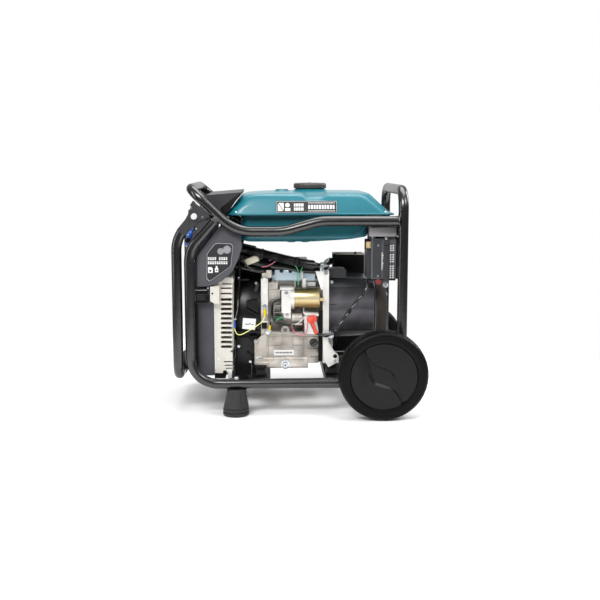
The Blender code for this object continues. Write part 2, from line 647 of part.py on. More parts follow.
def build_shaft():
    end = -0.158
    left = [
        (0.0, end), (0.0122, end), (0.0122, -0.0460), (0.056, -0.0460), (0.056, -0.0310), (0.0, -0.0310),
    ]
    right = [
        (0.0, 0.0060), (0.056, 0.0060), (0.056, 0.0210), (0.0122, 0.0210), (0.0122, 0.2310), (0.0, 0.2310),
    ]
    origin = (0, 0, SHAFT_Z)
    shaft = lathe("crankshaft", left, origin, "X", STEEL, origin, 20)
    pin = rod("pin", (-0.0330, 0, 0.030), (0.0080, 0, 0.030), 0.016)
    tail = lathe("tail", right, (0, 0, 0), "X", sides=20)
    pin.location = origin
    tail.location = origin
    join(shaft, [pin, tail])
    hub = 0.0126
    wheel = [
        (hub, -0.1600), (0.030, -0.1600), (0.030, -0.1500), (0.100, -0.1500), (0.100, -0.1740),
        (0.108, -0.1740), (0.108, -0.1200), (0.090, -0.1140), (hub, -0.1140),
    ]
    lathe("flywheel", wheel, origin, "X", STEEL, origin, 32)
    rotor = [(hub, 0.1080), (0.0440, 0.1080), (0.0440, 0.1870), (hub, 0.1870)]
    lathe("rotor", rotor, origin, "X", STEEL, origin, 24)
    ring = [(0.0448, 0.1100), (0.0605, 0.1100), (0.0605, 0.1850), (0.0448, 0.1850)]
    lathe("stator", ring, origin, "X", STEEL, sides=24)


def build_alternator():
    plate = [
        (0.128, 0.150), (0.128, 0.335), (0.100, 0.372), (0.060, 0.378), (-0.060, 0.378), (-0.100, 0.4060),
        (-0.1305, 0.4060), (-0.1305, 0.150),
    ]
    bracket = prism("alternator_bracket", plate, 0.0716, 0.0896, "X", ALUMINIUM)
    foot = [
        (0.0716, 0.1368), (0.1180, 0.1368), (0.1180, 0.1560), (0.1060, 0.1680), (0.0880, 0.2000),
        (0.0716, 0.2000),
    ]
    feet = []
    for sign in (-1, 1):
        low, high = side_of(sign, (0.1080, 0.1440))
        feet.append(prism("foot", foot, low, high))
    join(bracket, feet)
    ear = [
        (0.0500, 0.4050), (0.0640, 0.4050), (0.0640, 0.4155), (0.0730, 0.4145),
        (0.0730, 0.3480), (0.0665, 0.3520),
    ]
    join(bracket, [prism("ear", ear, -0.1290, -0.1150)])
    cut(bracket, [rod("hole", (0.05, 0, SHAFT_Z), (0.11, 0, SHAFT_Z), 0.026, sides=20)])
    rings = []
    for x, half, low, top in ((0.2265, 0.0940, 0.2060, 0.3765), (0.0900, 0.1000, 0.2000, 0.3830)):
        rings.append((x, (-half, half, low, top, 0.032)))
    outer = [[(x, y, z) for y, z in rounded(*spec, 3)] for x, spec in rings]
    inner = []
    for x, half, low, top in ((0.0900, 0.0970, 0.2030, 0.3800), (0.2235, 0.0910, 0.2090, 0.3735)):
        inner.append([(x, y, z) for y, z in rounded(-half, half, low, top, 0.030, 3)])
    shroud = loft("alternator_shroud", outer + inner, DARK_PLASTIC)
    cut(shroud, [rod("hole", (0.20, 0, SHAFT_Z), (0.24, 0, SHAFT_Z), 0.020, sides=16)])


def build_mounts():
    pairs = ((-0.126, -0.093, 0.1308, 0.1600, "front"), (0.0800, 0.1160, 0.110, 0.142, "rear"))
    for x0, x1, y0, y1, name in pairs:
        for side, sign in (("near", -1), ("far", 1)):
            low, high = side_of(sign, (y0, y1))
            rings = [
                ring_at(0.1021, (x0, x1, low, high, 0.003), 1),
                ring_at(0.1080, (x0, x1, low, high, 0.003), 1),
                ring_at(0.1190, (x0 + 0.004, x1 - 0.004, low + 0.004, high - 0.004, 0.003), 1),
                ring_at(0.1300, (x0, x1, low, high, 0.003), 1),
                ring_at(0.1361, (x0, x1, low, high, 0.003), 1),
            ]
            loft(f"mount_{name}_{side}", rings, RUBBER)


# ---------------------------------------------------------------- recoil starter
REEL_R = 0.052
ROPE_X = 0.244


def build_recoil():
    face = [
        (0.0, 0.2657), (0.086, 0.2657), (0.0915, 0.2620), (0.0925, 0.2269), (0.0900, 0.2269),
        (0.0890, 0.2600),
        (0.0850, 0.2630), (0.0, 0.2630),
    ]
    cover = lathe("recoil_cover", face, (0, 0, SHAFT_Z), "X", DARK_PLASTIC, sides=28)
    post = rod("post", (0.2345, 0, SHAFT_Z), (0.2640, 0, SHAFT_Z), 0.0060, sides=12)
    join(cover, [post])
    exit_z = SHAFT_Z + REEL_R
    cut(cover, [rod("exit", (ROPE_X, 0.05, exit_z), (ROPE_X, 0.12, exit_z), 0.0050, sides=12)])
    reel = [
        (0.0064, 0.2360), (0.060, 0.2360), (0.060, 0.2380), (0.049, 0.2400), (0.049, 0.2480), (0.060, 0.2500),
        (0.060, 0.2520), (0.0064, 0.2520),
    ]
    origin = (ROPE_X, 0, SHAFT_Z)
    lathe("recoil_reel", reel, (0, 0, SHAFT_Z), "X", DARK_PLASTIC, origin, 24)
    pale = ((0.6, 0.6, 0.55), 0.8)
    rod("recoil_rope", (ROPE_X, 0.004, exit_z), (ROPE_X, 0.0995, exit_z), 0.0020, pale, sides=8)
    grip = [
        (0.0, -0.032), (0.008, -0.032), (0.0100, -0.028), (0.0085, 0.0), (0.0100, 0.028), (0.008, 0.032),
        (0.0, 0.032),
    ]
    handle = lathe("recoil_grip", grip, (ROPE_X, 0.1120, exit_z), "X", DARK_PLASTIC, sides=14)
    join(handle, [rod("neck", (ROPE_X, 0.0999, exit_z), (ROPE_X, 0.112, exit_z), 0.0055, sides=10)])


# ---------------------------------------------------------------- battery and wiring
def build_battery():
    case = box("battery", (0.2065, -0.1720, 0.3870), (0.2790, -0.0920, 0.5040), DARK_PLASTIC)
    join(case, [box("strip", (0.1950, -0.1660, 0.3900), (0.2075, -0.0980, 0.4980))])
    outline = [
        (-0.1725, 0.3832), (-0.0880, 0.3832), (-0.0880, 0.5402), (-0.2100, 0.5402), (-0.2100, 0.5374),
        (-0.0905, 0.5374), (-0.0905, 0.3863), (-0.1725, 0.3863),
    ]
    prism("battery_bracket", outline, 0.2040, 0.2780, "X", BLACK_STEEL)
    box("battery_cover", (0.1990, -0.1850, 0.5100), (0.2785, -0.1020, 0.5365), GREY_PLASTIC)


def build_wiring():
    harness = [
        (-0.2432, -0.120, 0.478, 0), (-0.205, -0.120, 0.4775, 0.05), (-0.150, -0.120, 0.4690, 0.12),
        (-0.037, -0.120, 0.4400, 0.15), (0.030, -0.1165, 0.4245, 0.05), (0.046, -0.1060, 0.4215, 0),
    ]
    tube("harness_conduit", harness, 0.0135, DARK_PLASTIC, sides=10, steps=3)
    cable = [
        (0.0350, -0.1540, 0.262, 0), (0.050, -0.155, 0.226, 0.014), (0.092, -0.156, 0.220, 0.025),
        (0.138, -0.160, 0.282, 0.12), (0.1985, -0.160, 0.362, 0.016), (0.1985, -0.160, 0.3896, 0),
    ]
    tube("battery_cable", cable, 0.0036, RUBBER, sides=6, steps=3)


build_frame()
build_axle()
build_wheels()
build_handle()
build_tank()
build_fuel_cap()
build_panel()
build_heatsink()
build_crankcase()
build_engine_parts()
build_intake_exhaust()
build_shaft()
build_alternator()
build_mounts()
build_recoil()
build_battery()
build_wiring()
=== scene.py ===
"""Looks of the portable generator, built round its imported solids. Metres, row frame."""
import math

import bmesh
import bpy
from mathutils import Euler, Matrix, Vector


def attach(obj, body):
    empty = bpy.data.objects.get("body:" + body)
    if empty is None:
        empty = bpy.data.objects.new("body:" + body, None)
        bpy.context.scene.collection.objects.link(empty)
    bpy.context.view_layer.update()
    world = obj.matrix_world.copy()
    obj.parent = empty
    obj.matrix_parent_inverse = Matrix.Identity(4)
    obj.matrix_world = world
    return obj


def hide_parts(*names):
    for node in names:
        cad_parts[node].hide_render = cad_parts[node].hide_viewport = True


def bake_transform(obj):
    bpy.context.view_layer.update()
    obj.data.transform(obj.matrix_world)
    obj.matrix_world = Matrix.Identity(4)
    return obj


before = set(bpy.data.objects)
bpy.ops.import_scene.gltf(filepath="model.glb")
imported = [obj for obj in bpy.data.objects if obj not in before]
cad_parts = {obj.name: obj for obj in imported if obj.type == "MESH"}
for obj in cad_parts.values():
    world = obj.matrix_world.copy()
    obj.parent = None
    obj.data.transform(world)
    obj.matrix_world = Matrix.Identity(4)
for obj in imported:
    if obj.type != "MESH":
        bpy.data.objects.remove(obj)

for name in ("Cube", "Light", "Camera"):
    if name in bpy.data.objects:
        bpy.data.objects.remove(bpy.data.objects[name], do_unlink=True)
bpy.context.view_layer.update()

# Sizes and places shared with the solids
TUBE_R = 0.0145
RAIL_Y = 0.204
FRONT_X, REAR_X, RAIL_Z = -0.3085, 0.2935, 0.0915
SHAFT_Z = 0.27
WHEEL = Vector((0.2345, 0.2595, 0.127))
HANDLE_X = -0.3435
PIVOT = (-0.291, 0.57)
TILT = math.radians(15)
CAP_X = 0.039
SEAM_Z = 0.5734
DIAG = Vector((0.6566, 0.7542))
BEND_Z, UPPER_Z, GRIP_Z = 0.474, 0.555, 0.1145
FOOT = (-0.181, 0.202)
GAUGE = (-0.045, 0, 0)
PANEL_X = -0.3005
CASE_Y = -0.1302
STARTER = (0, -0.116, 0.3262)
REEL_R = 0.052
X, Y, Z = Vector((1, 0, 0)), Vector((0, 1, 0)), Vector((0, 0, 1))


# ---------------------------------------------------------------- camera, light and floor
def build_stage():
    """The camera, the lamps and the floor."""
    cam_data = bpy.data.cameras.new("camera")
    cam_data.lens = 55.98
    cam_data.sensor_width = 36.0
    cam = bpy.data.objects.new("camera", cam_data)
    cam.location = (-0.08417, -2.81675, 0.7106)
    cam.rotation_euler = Euler((math.radians(81.771), 0, math.radians(-1.903)))
    bpy.context.scene.collection.objects.link(cam)
    bpy.context.scene.camera = cam
    scene = bpy.context.scene
    scene.view_settings.view_transform = "Standard"
    build_world(scene)
    lamps = (
        ("key", (-0.9, -2.2, 2.2), (1.3, 0.9), 68.0), ("top", (0.25, 0.2, 2.3), (2.1, 1.2), 38.0),
        ("kicker", (2.1, 0.9, 1.5), (0.7, 1.2), 24.0), ("left_strip", (-2.3, -0.7, 0.9), (0.35, 1.7), 12.0),
        ("right_strip", (1.6, -1.5, 2.0), (0.9, 0.9), 24.0),
    )
    for name, place, size, power in lamps:
        data = bpy.data.lights.new(name, "AREA")
        data.shape = "RECTANGLE"
        data.size, data.size_y = size
        data.energy = power
        lamp = bpy.data.objects.new(name, data)
        lamp.location = place
        aim = Vector((0, 0, 0.3)) - Vector(place)
        lamp.rotation_euler = aim.to_track_quat("-Z", "Y").to_euler()
        scene.collection.objects.link(lamp)
    bm = bmesh.new()
    bmesh.ops.create_circle(bm, cap_ends=True, segments=96, radius=1.35)
    mesh = bpy.data.meshes.new("floor")
    bm.to_mesh(mesh)
    bm.free()
    floor = bpy.data.objects.new("floor", mesh)
    floor.location = (0, -0.25, -0.0005)
    mesh.materials.append(surface("floor_pale", (250, 250, 250), 0.9, vary=0.004))
    scene.collection.objects.link(floor)


def build_world(scene):
    """A white backdrop all round, which lights the object as a dim room with a pale ceiling and far wall."""
    world = bpy.data.worlds.new("studio")
    world.use_nodes = True
    nodes, links = world.node_tree.nodes, world.node_tree.links
    backdrop = nodes["Background"]
    backdrop.inputs["Color"].default_value = (1.0, 1.0, 1.0, 1.0)
    backdrop.inputs["Strength"].default_value = 1.0
    room = nodes.new("ShaderNodeBackground")
    split = nodes.new("ShaderNodeSeparateXYZ")
    links.new(nodes.new("ShaderNodeTexCoord").outputs["Generated"], split.inputs["Vector"])
    brightest = nodes.new("ShaderNodeMath")
    brightest.operation = "MAXIMUM"
    spans = (("Z", 0.0, 1.0, 0.16, 0.55), ("Y", 0.55, 0.95, 0.0, 0.9))
    for slot, (axis, start, end, dim, pale) in enumerate(spans):
        span = nodes.new("ShaderNodeMapRange")
        span.inputs["From Min"].default_value, span.inputs["From Max"].default_value = start, end
        span.inputs["To Min"].default_value, span.inputs["To Max"].default_value = dim, pale
        links.new(split.outputs[axis], span.inputs["Value"])
        links.new(span.outputs["Result"], brightest.inputs[slot])
    links.new(brightest.outputs["Value"], room.inputs["Strength"])
    room.inputs["Color"].default_value = (1.0, 1.0, 1.0, 1.0)
    mix = nodes.new("ShaderNodeMixShader")
    links.new(nodes.new("ShaderNodeLightPath").outputs["Is Camera Ray"], mix.inputs["Fac"])
    links.new(room.outputs["Background"], mix.inputs[1])
    links.new(backdrop.outputs["Background"], mix.inputs[2])
    links.new(mix.outputs["Shader"], nodes["World Output"].inputs["Surface"])
    scene.world = world


# ---------------------------------------------------------------- materials
def linear(rgb):
    """A colour from 0-255 screen values to scene values."""
    return [(c / 255 / 12.92) if c <= 10 else ((c / 255 + 0.055) / 1.055) ** 2.4 for c in rgb]


def surface(name, rgb, rough, metal=0.0, vary=0.1, scale=18.0, bump=0.0, grain=600.0, coat=0.0,
            stretch=None, spread=0.06, tint=None, spec=0.5):
    """A procedural material: mottled colour, uneven gloss and a fine relief.

    stretch scales the coordinates for brushed finishes; tint is the colour of the darker patches.
    """
    mat = bpy.data.materials.new(name)
    mat.use_nodes = True
    nodes, links = mat.node_tree.nodes, mat.node_tree.links
    shader = nodes["Principled BSDF"]
    shader.inputs["Metallic"].default_value = metal
    shader.inputs["Specular IOR Level"].default_value = spec
    shader.inputs["Coat Weight"].default_value = coat
    shader.inputs["Coat Roughness"].default_value = 0.06
    coords = nodes.new("ShaderNodeTexCoord").outputs["Object"]
    if stretch:
        mapping = nodes.new("ShaderNodeMapping")
        mapping.inputs["Scale"].default_value = stretch
        links.new(coords, mapping.inputs["Vector"])
        coords = mapping.outputs["Vector"]
    noise = nodes.new("ShaderNodeTexNoise")
    noise.inputs["Scale"].default_value = scale
    noise.inputs["Detail"].default_value = 5.0
    links.new(coords, noise.inputs["Vector"])
    ramp = nodes.new("ShaderNodeValToRGB")
    base = linear(rgb)
    other = linear(tint) if tint else base
    ramp.color_ramp.elements[0].position = 0.32
    ramp.color_ramp.elements[1].position = 0.68
    ramp.color_ramp.elements[0].color = (*[max(0.0, c * (1 - vary)) for c in other], 1)
    ramp.color_ramp.elements[1].color = (*[min(1.0, c * (1 + vary)) for c in base], 1)
    links.new(noise.outputs["Fac"], ramp.inputs["Fac"])
    links.new(ramp.outputs["Color"], shader.inputs["Base Color"])
    span = nodes.new("ShaderNodeMapRange")
    span.inputs["To Min"].default_value = max(0.03, rough - spread)
    span.inputs["To Max"].default_value = min(1.0, rough + spread)
    links.new(noise.outputs["Fac"], span.inputs["Value"])
    links.new(span.outputs["Result"], shader.inputs["Roughness"])
    if bump:
        fine = nodes.new("ShaderNodeTexNoise")
        fine.inputs["Detail"].default_value = 2.0
        fine.inputs["Scale"].default_value = grain
        links.new(coords, fine.inputs["Vector"])
        relief = nodes.new("ShaderNodeBump")
        relief.inputs["Strength"].default_value = bump
        relief.inputs["Distance"].default_value = 0.0006
        links.new(fine.outputs["Fac"], relief.inputs["Height"])
        links.new(relief.outputs["Normal"], shader.inputs["Normal"])
    return mat


def painted_light_bands(name, low, high, bands, rough, metal):
    """Painted light: colour that changes with height in bands, with an uneven edge to each band, standing in
    for highlights, reflections and shade on a curved cover.
    """
    mat = surface(name, (128, 128, 128), rough, metal, scale=30, spread=0.06)
    nodes, links = mat.node_tree.nodes, mat.node_tree.links
    split = nodes.new("ShaderNodeSeparateXYZ")
    links.new(nodes.new("ShaderNodeTexCoord").outputs["Object"], split.inputs["Vector"])
    span = nodes.new("ShaderNodeMapRange")
    span.inputs["From Min"].default_value, span.inputs["From Max"].default_value = low, high
    links.new(split.outputs["Z"], span.inputs["Value"])
    shift = nodes.new("ShaderNodeMath")
    shift.operation = "MULTIPLY_ADD"
    shift.inputs[1].default_value = 0.12
    links.new(nodes["Noise Texture"].outputs["Fac"], shift.inputs[0])
    links.new(span.outputs["Result"], shift.inputs[2])
    ramp = nodes.new("ShaderNodeValToRGB")
    while len(ramp.color_ramp.elements) < len(bands):
        ramp.color_ramp.elements.new(0.5)
    for element, (place, rgb) in zip(ramp.color_ramp.elements, bands):
        element.position = place
        element.color = (*linear(rgb), 1)
    links.new(shift.outputs["Value"], ramp.inputs["Fac"])
    links.new(ramp.outputs["Color"], nodes["Principled BSDF"].inputs["Base Color"])
    return mat


def build_materials():
    """All finishes by name."""
    table = {
        "tube": dict(rgb=(8, 8, 8), rough=0.25, vary=0.12, scale=9, bump=0.06, grain=420, spec=0.95),
        "plate": dict(rgb=(54, 54, 56), rough=0.42, scale=14, bump=0.15, grain=500, spec=0.3),
        "black": dict(rgb=(12, 12, 13), rough=0.4, vary=0.14, scale=20, bump=0.1, grain=700, spec=0.3),
        "housing": dict(rgb=(70, 70, 76), rough=0.55, vary=0.06, scale=12, bump=0.25, grain=1400, spec=0.25),
        "cover": dict(rgb=(78, 78, 83), rough=0.6, vary=0.05, scale=12, bump=0.3, grain=1600, spec=0.25),
        "decal": dict(rgb=(44, 43, 46), rough=0.45, vary=0.06, scale=30, spec=0.3),
        "white": dict(rgb=(228, 228, 226), rough=0.5, vary=0.03, scale=40),
        "silver_line": dict(rgb=(140, 140, 144), rough=0.5, vary=0.05, scale=40),
        "teal": dict(rgb=(24, 109, 123), rough=0.34, vary=0.03, scale=5, coat=0.25, bump=0.02, grain=120,
                     spec=0.4),
        "teal_low": dict(rgb=(21, 95, 106), rough=0.34, vary=0.03, scale=5, coat=0.2, bump=0.03, grain=120,
                         spec=0.4),
        "cap": dict(rgb=(66, 60, 58), rough=0.42, scale=20, bump=0.1, grain=800, spec=0.4),
        "casting": dict(rgb=(194, 188, 179), rough=0.4, metal=0.5, vary=0.14, scale=24, bump=0.55,
                        grain=520, tint=(156, 150, 142)),
        "casting_light": dict(rgb=(222, 216, 208), rough=0.42, metal=0.35, vary=0.12, scale=30, bump=0.45,
                              grain=520, tint=(190, 183, 174)),
        "casting_dark": dict(rgb=(160, 155, 148), rough=0.5, metal=0.45, vary=0.14, scale=24, bump=0.45,
                             grain=520),
        "bright": dict(rgb=(232, 230, 226), rough=0.36, metal=0.4, vary=0.06, scale=30, bump=0.2),
        "fins": dict(rgb=(214, 210, 202), rough=0.46, metal=0.35, vary=0.06, scale=16, bump=0.3, grain=700),
        "zinc": dict(rgb=(210, 216, 220), rough=0.24, metal=0.9, scale=60, spread=0.1),
        "brass": dict(rgb=(222, 198, 150), rough=0.3, metal=0.5, vary=0.06, scale=40),
        "steel": dict(rgb=(140, 140, 142), rough=0.35, metal=0.9, scale=40, stretch=(1, 1, 8)),
        "dark_steel": dict(rgb=(128, 124, 120), rough=0.3, metal=0.8, vary=0.12, scale=60, spread=0.1),
        "pin_zinc": dict(rgb=(226, 230, 232), rough=0.3, metal=0.35, vary=0.05, scale=50),
        "galvanised": dict(rgb=(222, 234, 242), rough=0.26, metal=0.3, vary=0.05, scale=7, spread=0.08,
                           tint=(190, 212, 226)),
        "plug_green": dict(rgb=(44, 78, 60), rough=0.3, vary=0.08, scale=30),
        "duct": dict(rgb=(9, 9, 10), rough=0.17, vary=0.12, scale=40, bump=0.12, grain=90, spec=0.6),
        "lip": dict(rgb=(206, 196, 184), rough=0.4, vary=0.08, scale=20),
        "grey_tube": dict(rgb=(96, 94, 92), rough=0.35, metal=0.4, scale=30, bump=0.1, grain=500),
        "burnt": dict(rgb=(86, 78, 72), rough=0.55, metal=0.7, vary=0.22, scale=14, bump=0.2, grain=400),
        "tyre": dict(rgb=(9, 9, 9), rough=0.4, vary=0.14, scale=26, bump=0.2, grain=500, spec=0.12),
        "disc": dict(rgb=(24, 24, 24), rough=0.3, vary=0.06, scale=14, bump=0.1, grain=1500, spec=0.16),
        "rubber": dict(rgb=(46, 46, 47), rough=0.58, scale=24, bump=0.3, grain=700, spec=0.3),
        "soft_black": dict(rgb=(16, 16, 17), rough=0.5, vary=0.12, scale=30, bump=0.2, grain=700, spec=0.3),
        "cable": dict(rgb=(8, 8, 9), rough=0.16, vary=0.15, scale=50, spec=0.8),
        "battery": dict(rgb=(84, 85, 89), rough=0.42, vary=0.08, bump=0.2, grain=1200, spec=0.3),
        "battery_dark": dict(rgb=(54, 55, 58), rough=0.45, vary=0.08, bump=0.2, grain=1200, spec=0.3),
        "battery_top": dict(rgb=(142, 140, 142), rough=0.5, vary=0.06, bump=0.2, grain=1200, spec=0.3),
        "band": dict(rgb=(58, 53, 49), rough=0.62, scale=30, bump=0.2, grain=900, spec=0.15),
        "boot": dict(rgb=(232, 78, 62), rough=0.4, vary=0.06, scale=30, bump=0.1, grain=500),
        "yellow": dict(rgb=(245, 240, 150), rough=0.45, vary=0.06, scale=30),
        "yellow_deep": dict(rgb=(222, 190, 40), rough=0.45, vary=0.06, scale=30),
        "green": dict(rgb=(70, 160, 108), rough=0.45, vary=0.08, scale=30),
        "pink": dict(rgb=(206, 112, 134), rough=0.45, vary=0.06, scale=30),
        "blue": dict(rgb=(38, 92, 184), rough=0.3, vary=0.06, scale=20, bump=0.08, grain=900),
        "cream": dict(rgb=(214, 208, 186), rough=0.5, vary=0.05, scale=30),
        "red_dark": dict(rgb=(120, 34, 38), rough=0.45, vary=0.08, scale=30),
        "rope": dict(rgb=(196, 190, 176), rough=0.8, vary=0.15, scale=200, bump=0.6, grain=900),
        "mesh_black": dict(rgb=(9, 9, 9), rough=0.7, scale=60, spec=0.2),
        "glass_dark": dict(rgb=(16, 20, 24), rough=0.12, vary=0.05, scale=30, coat=0.5),
    }
    made = {name: surface(name, **values) for name, values in table.items()}
    made["blower"] = surface("blower", (11, 11, 12), 0.32, vary=0.12, scale=12, bump=0.1, grain=900, spec=0.3)
    # Painted highlight: the alternator cover's grey brightens in bands across its middle and darkens towards
    # its top and bottom, standing in for the lamps' light on its curved side.
    made["shroud"] = painted_light_bands("shroud", 0.2, 0.383, (
        (0.1, (36, 35, 39)), (0.3, (46, 45, 49)), (0.5, (104, 102, 108)), (0.56, (74, 73, 77)),
        (0.68, (96, 94, 100)), (0.8, (56, 55, 59)), (0.92, (40, 40, 43)), (1.0, (30, 30, 32)),
    ), 0.36, 0.0)
    # Painted reflections: the starter can's gold darkens towards its lower and upper edges and turns cream in
    # a band above its middle, standing in for the room and lamps reflected in it.
    made["gold_painted_reflections"] = painted_light_bands("gold_painted_reflections", 0.29, 0.359, (
        (0.06, (56, 46, 28)), (0.2, (128, 106, 64)), (0.44, (184, 160, 108)), (0.66, (236, 222, 182)),
        (0.78, (200, 180, 130)), (0.92, (112, 104, 66)), (1.0, (66, 62, 40)),
    ), 0.22, 0.55)
    return made


# ---------------------------------------------------------------- mesh helpers
def piece(name, bm, mat, body="frame", replaces=(), bevel=0.0, angle=35.0, segments=2):
    """Turns a bmesh into a shown piece that rides on a body."""
    bmesh.ops.remove_doubles(bm, verts=bm.verts, dist=1e-6)
    bmesh.ops.recalc_face_normals(bm, faces=bm.faces)
    mesh = bpy.data.meshes.new(name)
    bm.to_mesh(mesh)
    bm.free()
    mesh.polygons.foreach_set("use_smooth", [True] * len(mesh.polygons))
    mesh.set_sharp_from_angle(angle=math.radians(angle))
    mesh.materials.append(MAT[mat])
    obj = bpy.data.objects.new(name, mesh)
    bpy.context.scene.collection.objects.link(obj)
    if bevel:
        soften(obj, bevel, segments)
    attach(obj, body)
    if replaces:
        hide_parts(*replaces)


def soften(obj, width, segments):
    """Rounds the sharp edges of a shown piece."""
    mod = obj.modifiers.new("edges", "BEVEL")
    mod.width = width
    mod.segments = segments
    mod.limit_method = "ANGLE"
    mod.angle_limit = math.radians(28)
    mod.harden_normals = True
    mod.use_clamp_overlap = True


def keep(node, mat, bevel=0.0, segments=2):
    """Shows a CAD node as it is, with a detailed material and softened edges."""
    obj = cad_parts[node]
    obj.data.materials.clear()
    obj.data.materials.append(MAT[mat])
    obj.data.polygons.foreach_set("use_smooth", [True] * len(obj.data.polygons))
    obj.data.set_sharp_from_angle(angle=math.radians(32))
    if bevel:
        weld = obj.modifiers.new("weld", "WELD")
        weld.merge_threshold = 0.00001
        soften(obj, bevel, segments)


def ring_faces(bm, a, b):
    """Faces between two rings; a ring of one point makes a fan."""
    count = max(len(a), len(b))
    for i in range(count):
        j = (i + 1) % count
        corners = list(dict.fromkeys([a[i % len(a)], a[j % len(a)], b[j % len(b)], b[i % len(b)]]))
        if len(corners) > 2:
            bm.faces.new(corners)


def skin(bm, rings, closed=False):
    """Joins rings of points into a surface, closed on itself or capped at both ends."""
    rows = [[bm.verts.new(p) for p in ring] for ring in rings]
    for a, b in zip(rows, rows[1:]):
        ring_faces(bm, a, b)
    if closed:
        ring_faces(bm, rows[-1], rows[0])
    else:
        for row in (rows[0], rows[-1]):
            if len(row) > 2:
                bm.faces.new(row)
    return bm


def turned(bm, profile, at, axis=Z, sides=32, closed=False, shape=None):
    """Turns a (radius, height) profile about an axis through a point.

    shape(angle, radius, height) may return a changed (radius, height).
    """
    turn = Vector(axis).to_track_quat("Z", "Y")
    rings = []
    for radius, along in profile:
        if radius < 1e-7:
            rings.append([Vector(at) + turn @ Vector((0, 0, along))])
            continue
        ring = []
        for i in range(sides):
            angle = 2 * math.pi * i / sides
            r, h = shape(angle, radius, along) if shape else (radius, along)
            ring.append(Vector(at) + turn @ Vector((r * math.cos(angle), r * math.sin(angle), h)))
        rings.append(ring)
    return skin(bm, rings, closed)


def rod(bm, start, end, radius, sides=20, chamfer=0.0):
    """A round bar between two points."""
    start, end = Vector(start), Vector(end)
    length = (end - start).length
    c = min(chamfer, radius * 0.6, length * 0.4)
    profile = [(0, 0), (radius - c, 0), (radius, c), (radius, length - c), (radius - c, length), (0, length)]
    return turned(bm, profile, start, end - start, sides)


def prism(bm, outline, low, high):
    """An (x, z) outline from low to high along y."""
    return skin(bm, [[(x, y, z) for x, z in outline] for y in (low, high)])


def both_flanks(bm, outline, inner, outer):
    """The same prism on the near and on the far side."""
    for sign in (-1, 1):
        prism(bm, outline, *sorted((sign * inner, sign * outer)))


def block(bm, low, high):
    """A box between two opposite corners."""
    return prism(bm, rect(low[0], low[2], high[0], high[2]), low[1], high[1])


def stud(bm, at, axis, foot, top, height, crown, sides):
    """A low round boss, from its foot radius to its top radius; crown is the height at its middle."""
    return turned(bm, [(0, 0), (foot, 0), (top, height), (0, crown)], at, axis, sides)


def hoop(bm, at, axis, inner, outer, low, high, sides):
    """A plain ring between two radii and two heights."""
    return turned(bm, [(inner, low), (outer, low), (outer, high), (inner, high)], at, axis, sides,
                  closed=True)


def fillet(points, steps=10):
    """Rounds the corners of a path given as (x, y, z, radius)."""
    path = [Vector(points[0][:3])]
    for before, here, after in zip(points, points[1:], points[2:]):
        corner, radius = Vector(here[:3]), here[3]
        u = (Vector(before[:3]) - corner).normalized()
        v = (Vector(after[:3]) - corner).normalized()
        half = math.acos(max(-1.0, min(1.0, u.dot(v)))) / 2
        back = radius / math.tan(half)
        centre = corner + (u + v).normalized() * (radius / math.sin(half))
        a, b = corner + u * back - centre, corner + v * back - centre
        sweep = math.acos(max(-1.0, min(1.0, a.normalized().dot(b.normalized()))))
        count = max(3, round(steps * sweep / 1.2))
        for i in range(count + 1):
            t = i / count
            path.append(centre + (a * math.sin((1 - t) * sweep) + b * math.sin(t * sweep)) / math.sin(sweep))
    path.append(Vector(points[-1][:3]))
    return path


def spline(a, b, c, d, t):
    """The value a share t of the way from b to c on a smooth curve through a, b, c and d."""
    return 0.5 * (2 * b + (c - a) * t + (2 * a - 5 * b + 4 * c - d) * t * t
                  + (3 * b - a - 3 * c + d) * t ** 3)


def smooth_path(points, steps=8):
    """A flowing curve through the points."""
    pts = [Vector(p) for p in points]
    pts = [pts[0] * 2 - pts[1]] + pts + [pts[-1] * 2 - pts[-2]]
    path = []
    for a, b, c, d in zip(pts, pts[1:], pts[2:], pts[3:]):
        for i in range(steps):
            t = i / steps
            path.append(spline(a, b, c, d, t))
    path.append(pts[-2])
    return path


def even(path, step):
    """The same path with points at even distances."""
    out, left = [Vector(path[0])], step
    for a, b in zip(path, path[1:]):
        a, b = Vector(a), Vector(b)
        length = (b - a).length
        while left <= length:
            out.append(a.lerp(b, left / length))
            left += step
        left -= length
    return out


def sweep(bm, path, radius, sides, closed=False, dome=False):
    """A round bar along a path; radius is a number or a function of the share of the way.

    dome gives both ends a rounded tip.
    """
    path = [Vector(p) for p in path]
    size = radius if callable(radius) else lambda t: radius
    rings, normal = [], None
    last = len(path) - 1
    for i, here in enumerate(path):
        before = path[i - 1] if (i or closed) else here
        after = path[(i + 1) % len(path)] if (i < last or closed) else here
        forward = (after - before).normalized()
        if normal is None:
            helper = Z if abs(forward.z) < 0.9 else X
            normal = forward.cross(helper).normalized()
        normal = (normal - forward * normal.dot(forward)).normalized()
        side = forward.cross(normal)
        r = size(i / last)
        rings.append([here + normal * (r * math.cos(a)) + side * (r * math.sin(a))
                      for a in (2 * math.pi * k / sides for k in range(sides))])
    if dome:
        for end, ring, out in ((0, rings[0], path[0] - path[1]), (last, rings[-1], path[-1] - path[-2])):
            out = out.normalized() * size(end / last) * 0.5
            cap = [path[end] + out + (p - path[end]) * 0.55 for p in ring]
            rings = [cap] + rings if end == 0 else rings + [cap]
    return skin(bm, rings, closed)


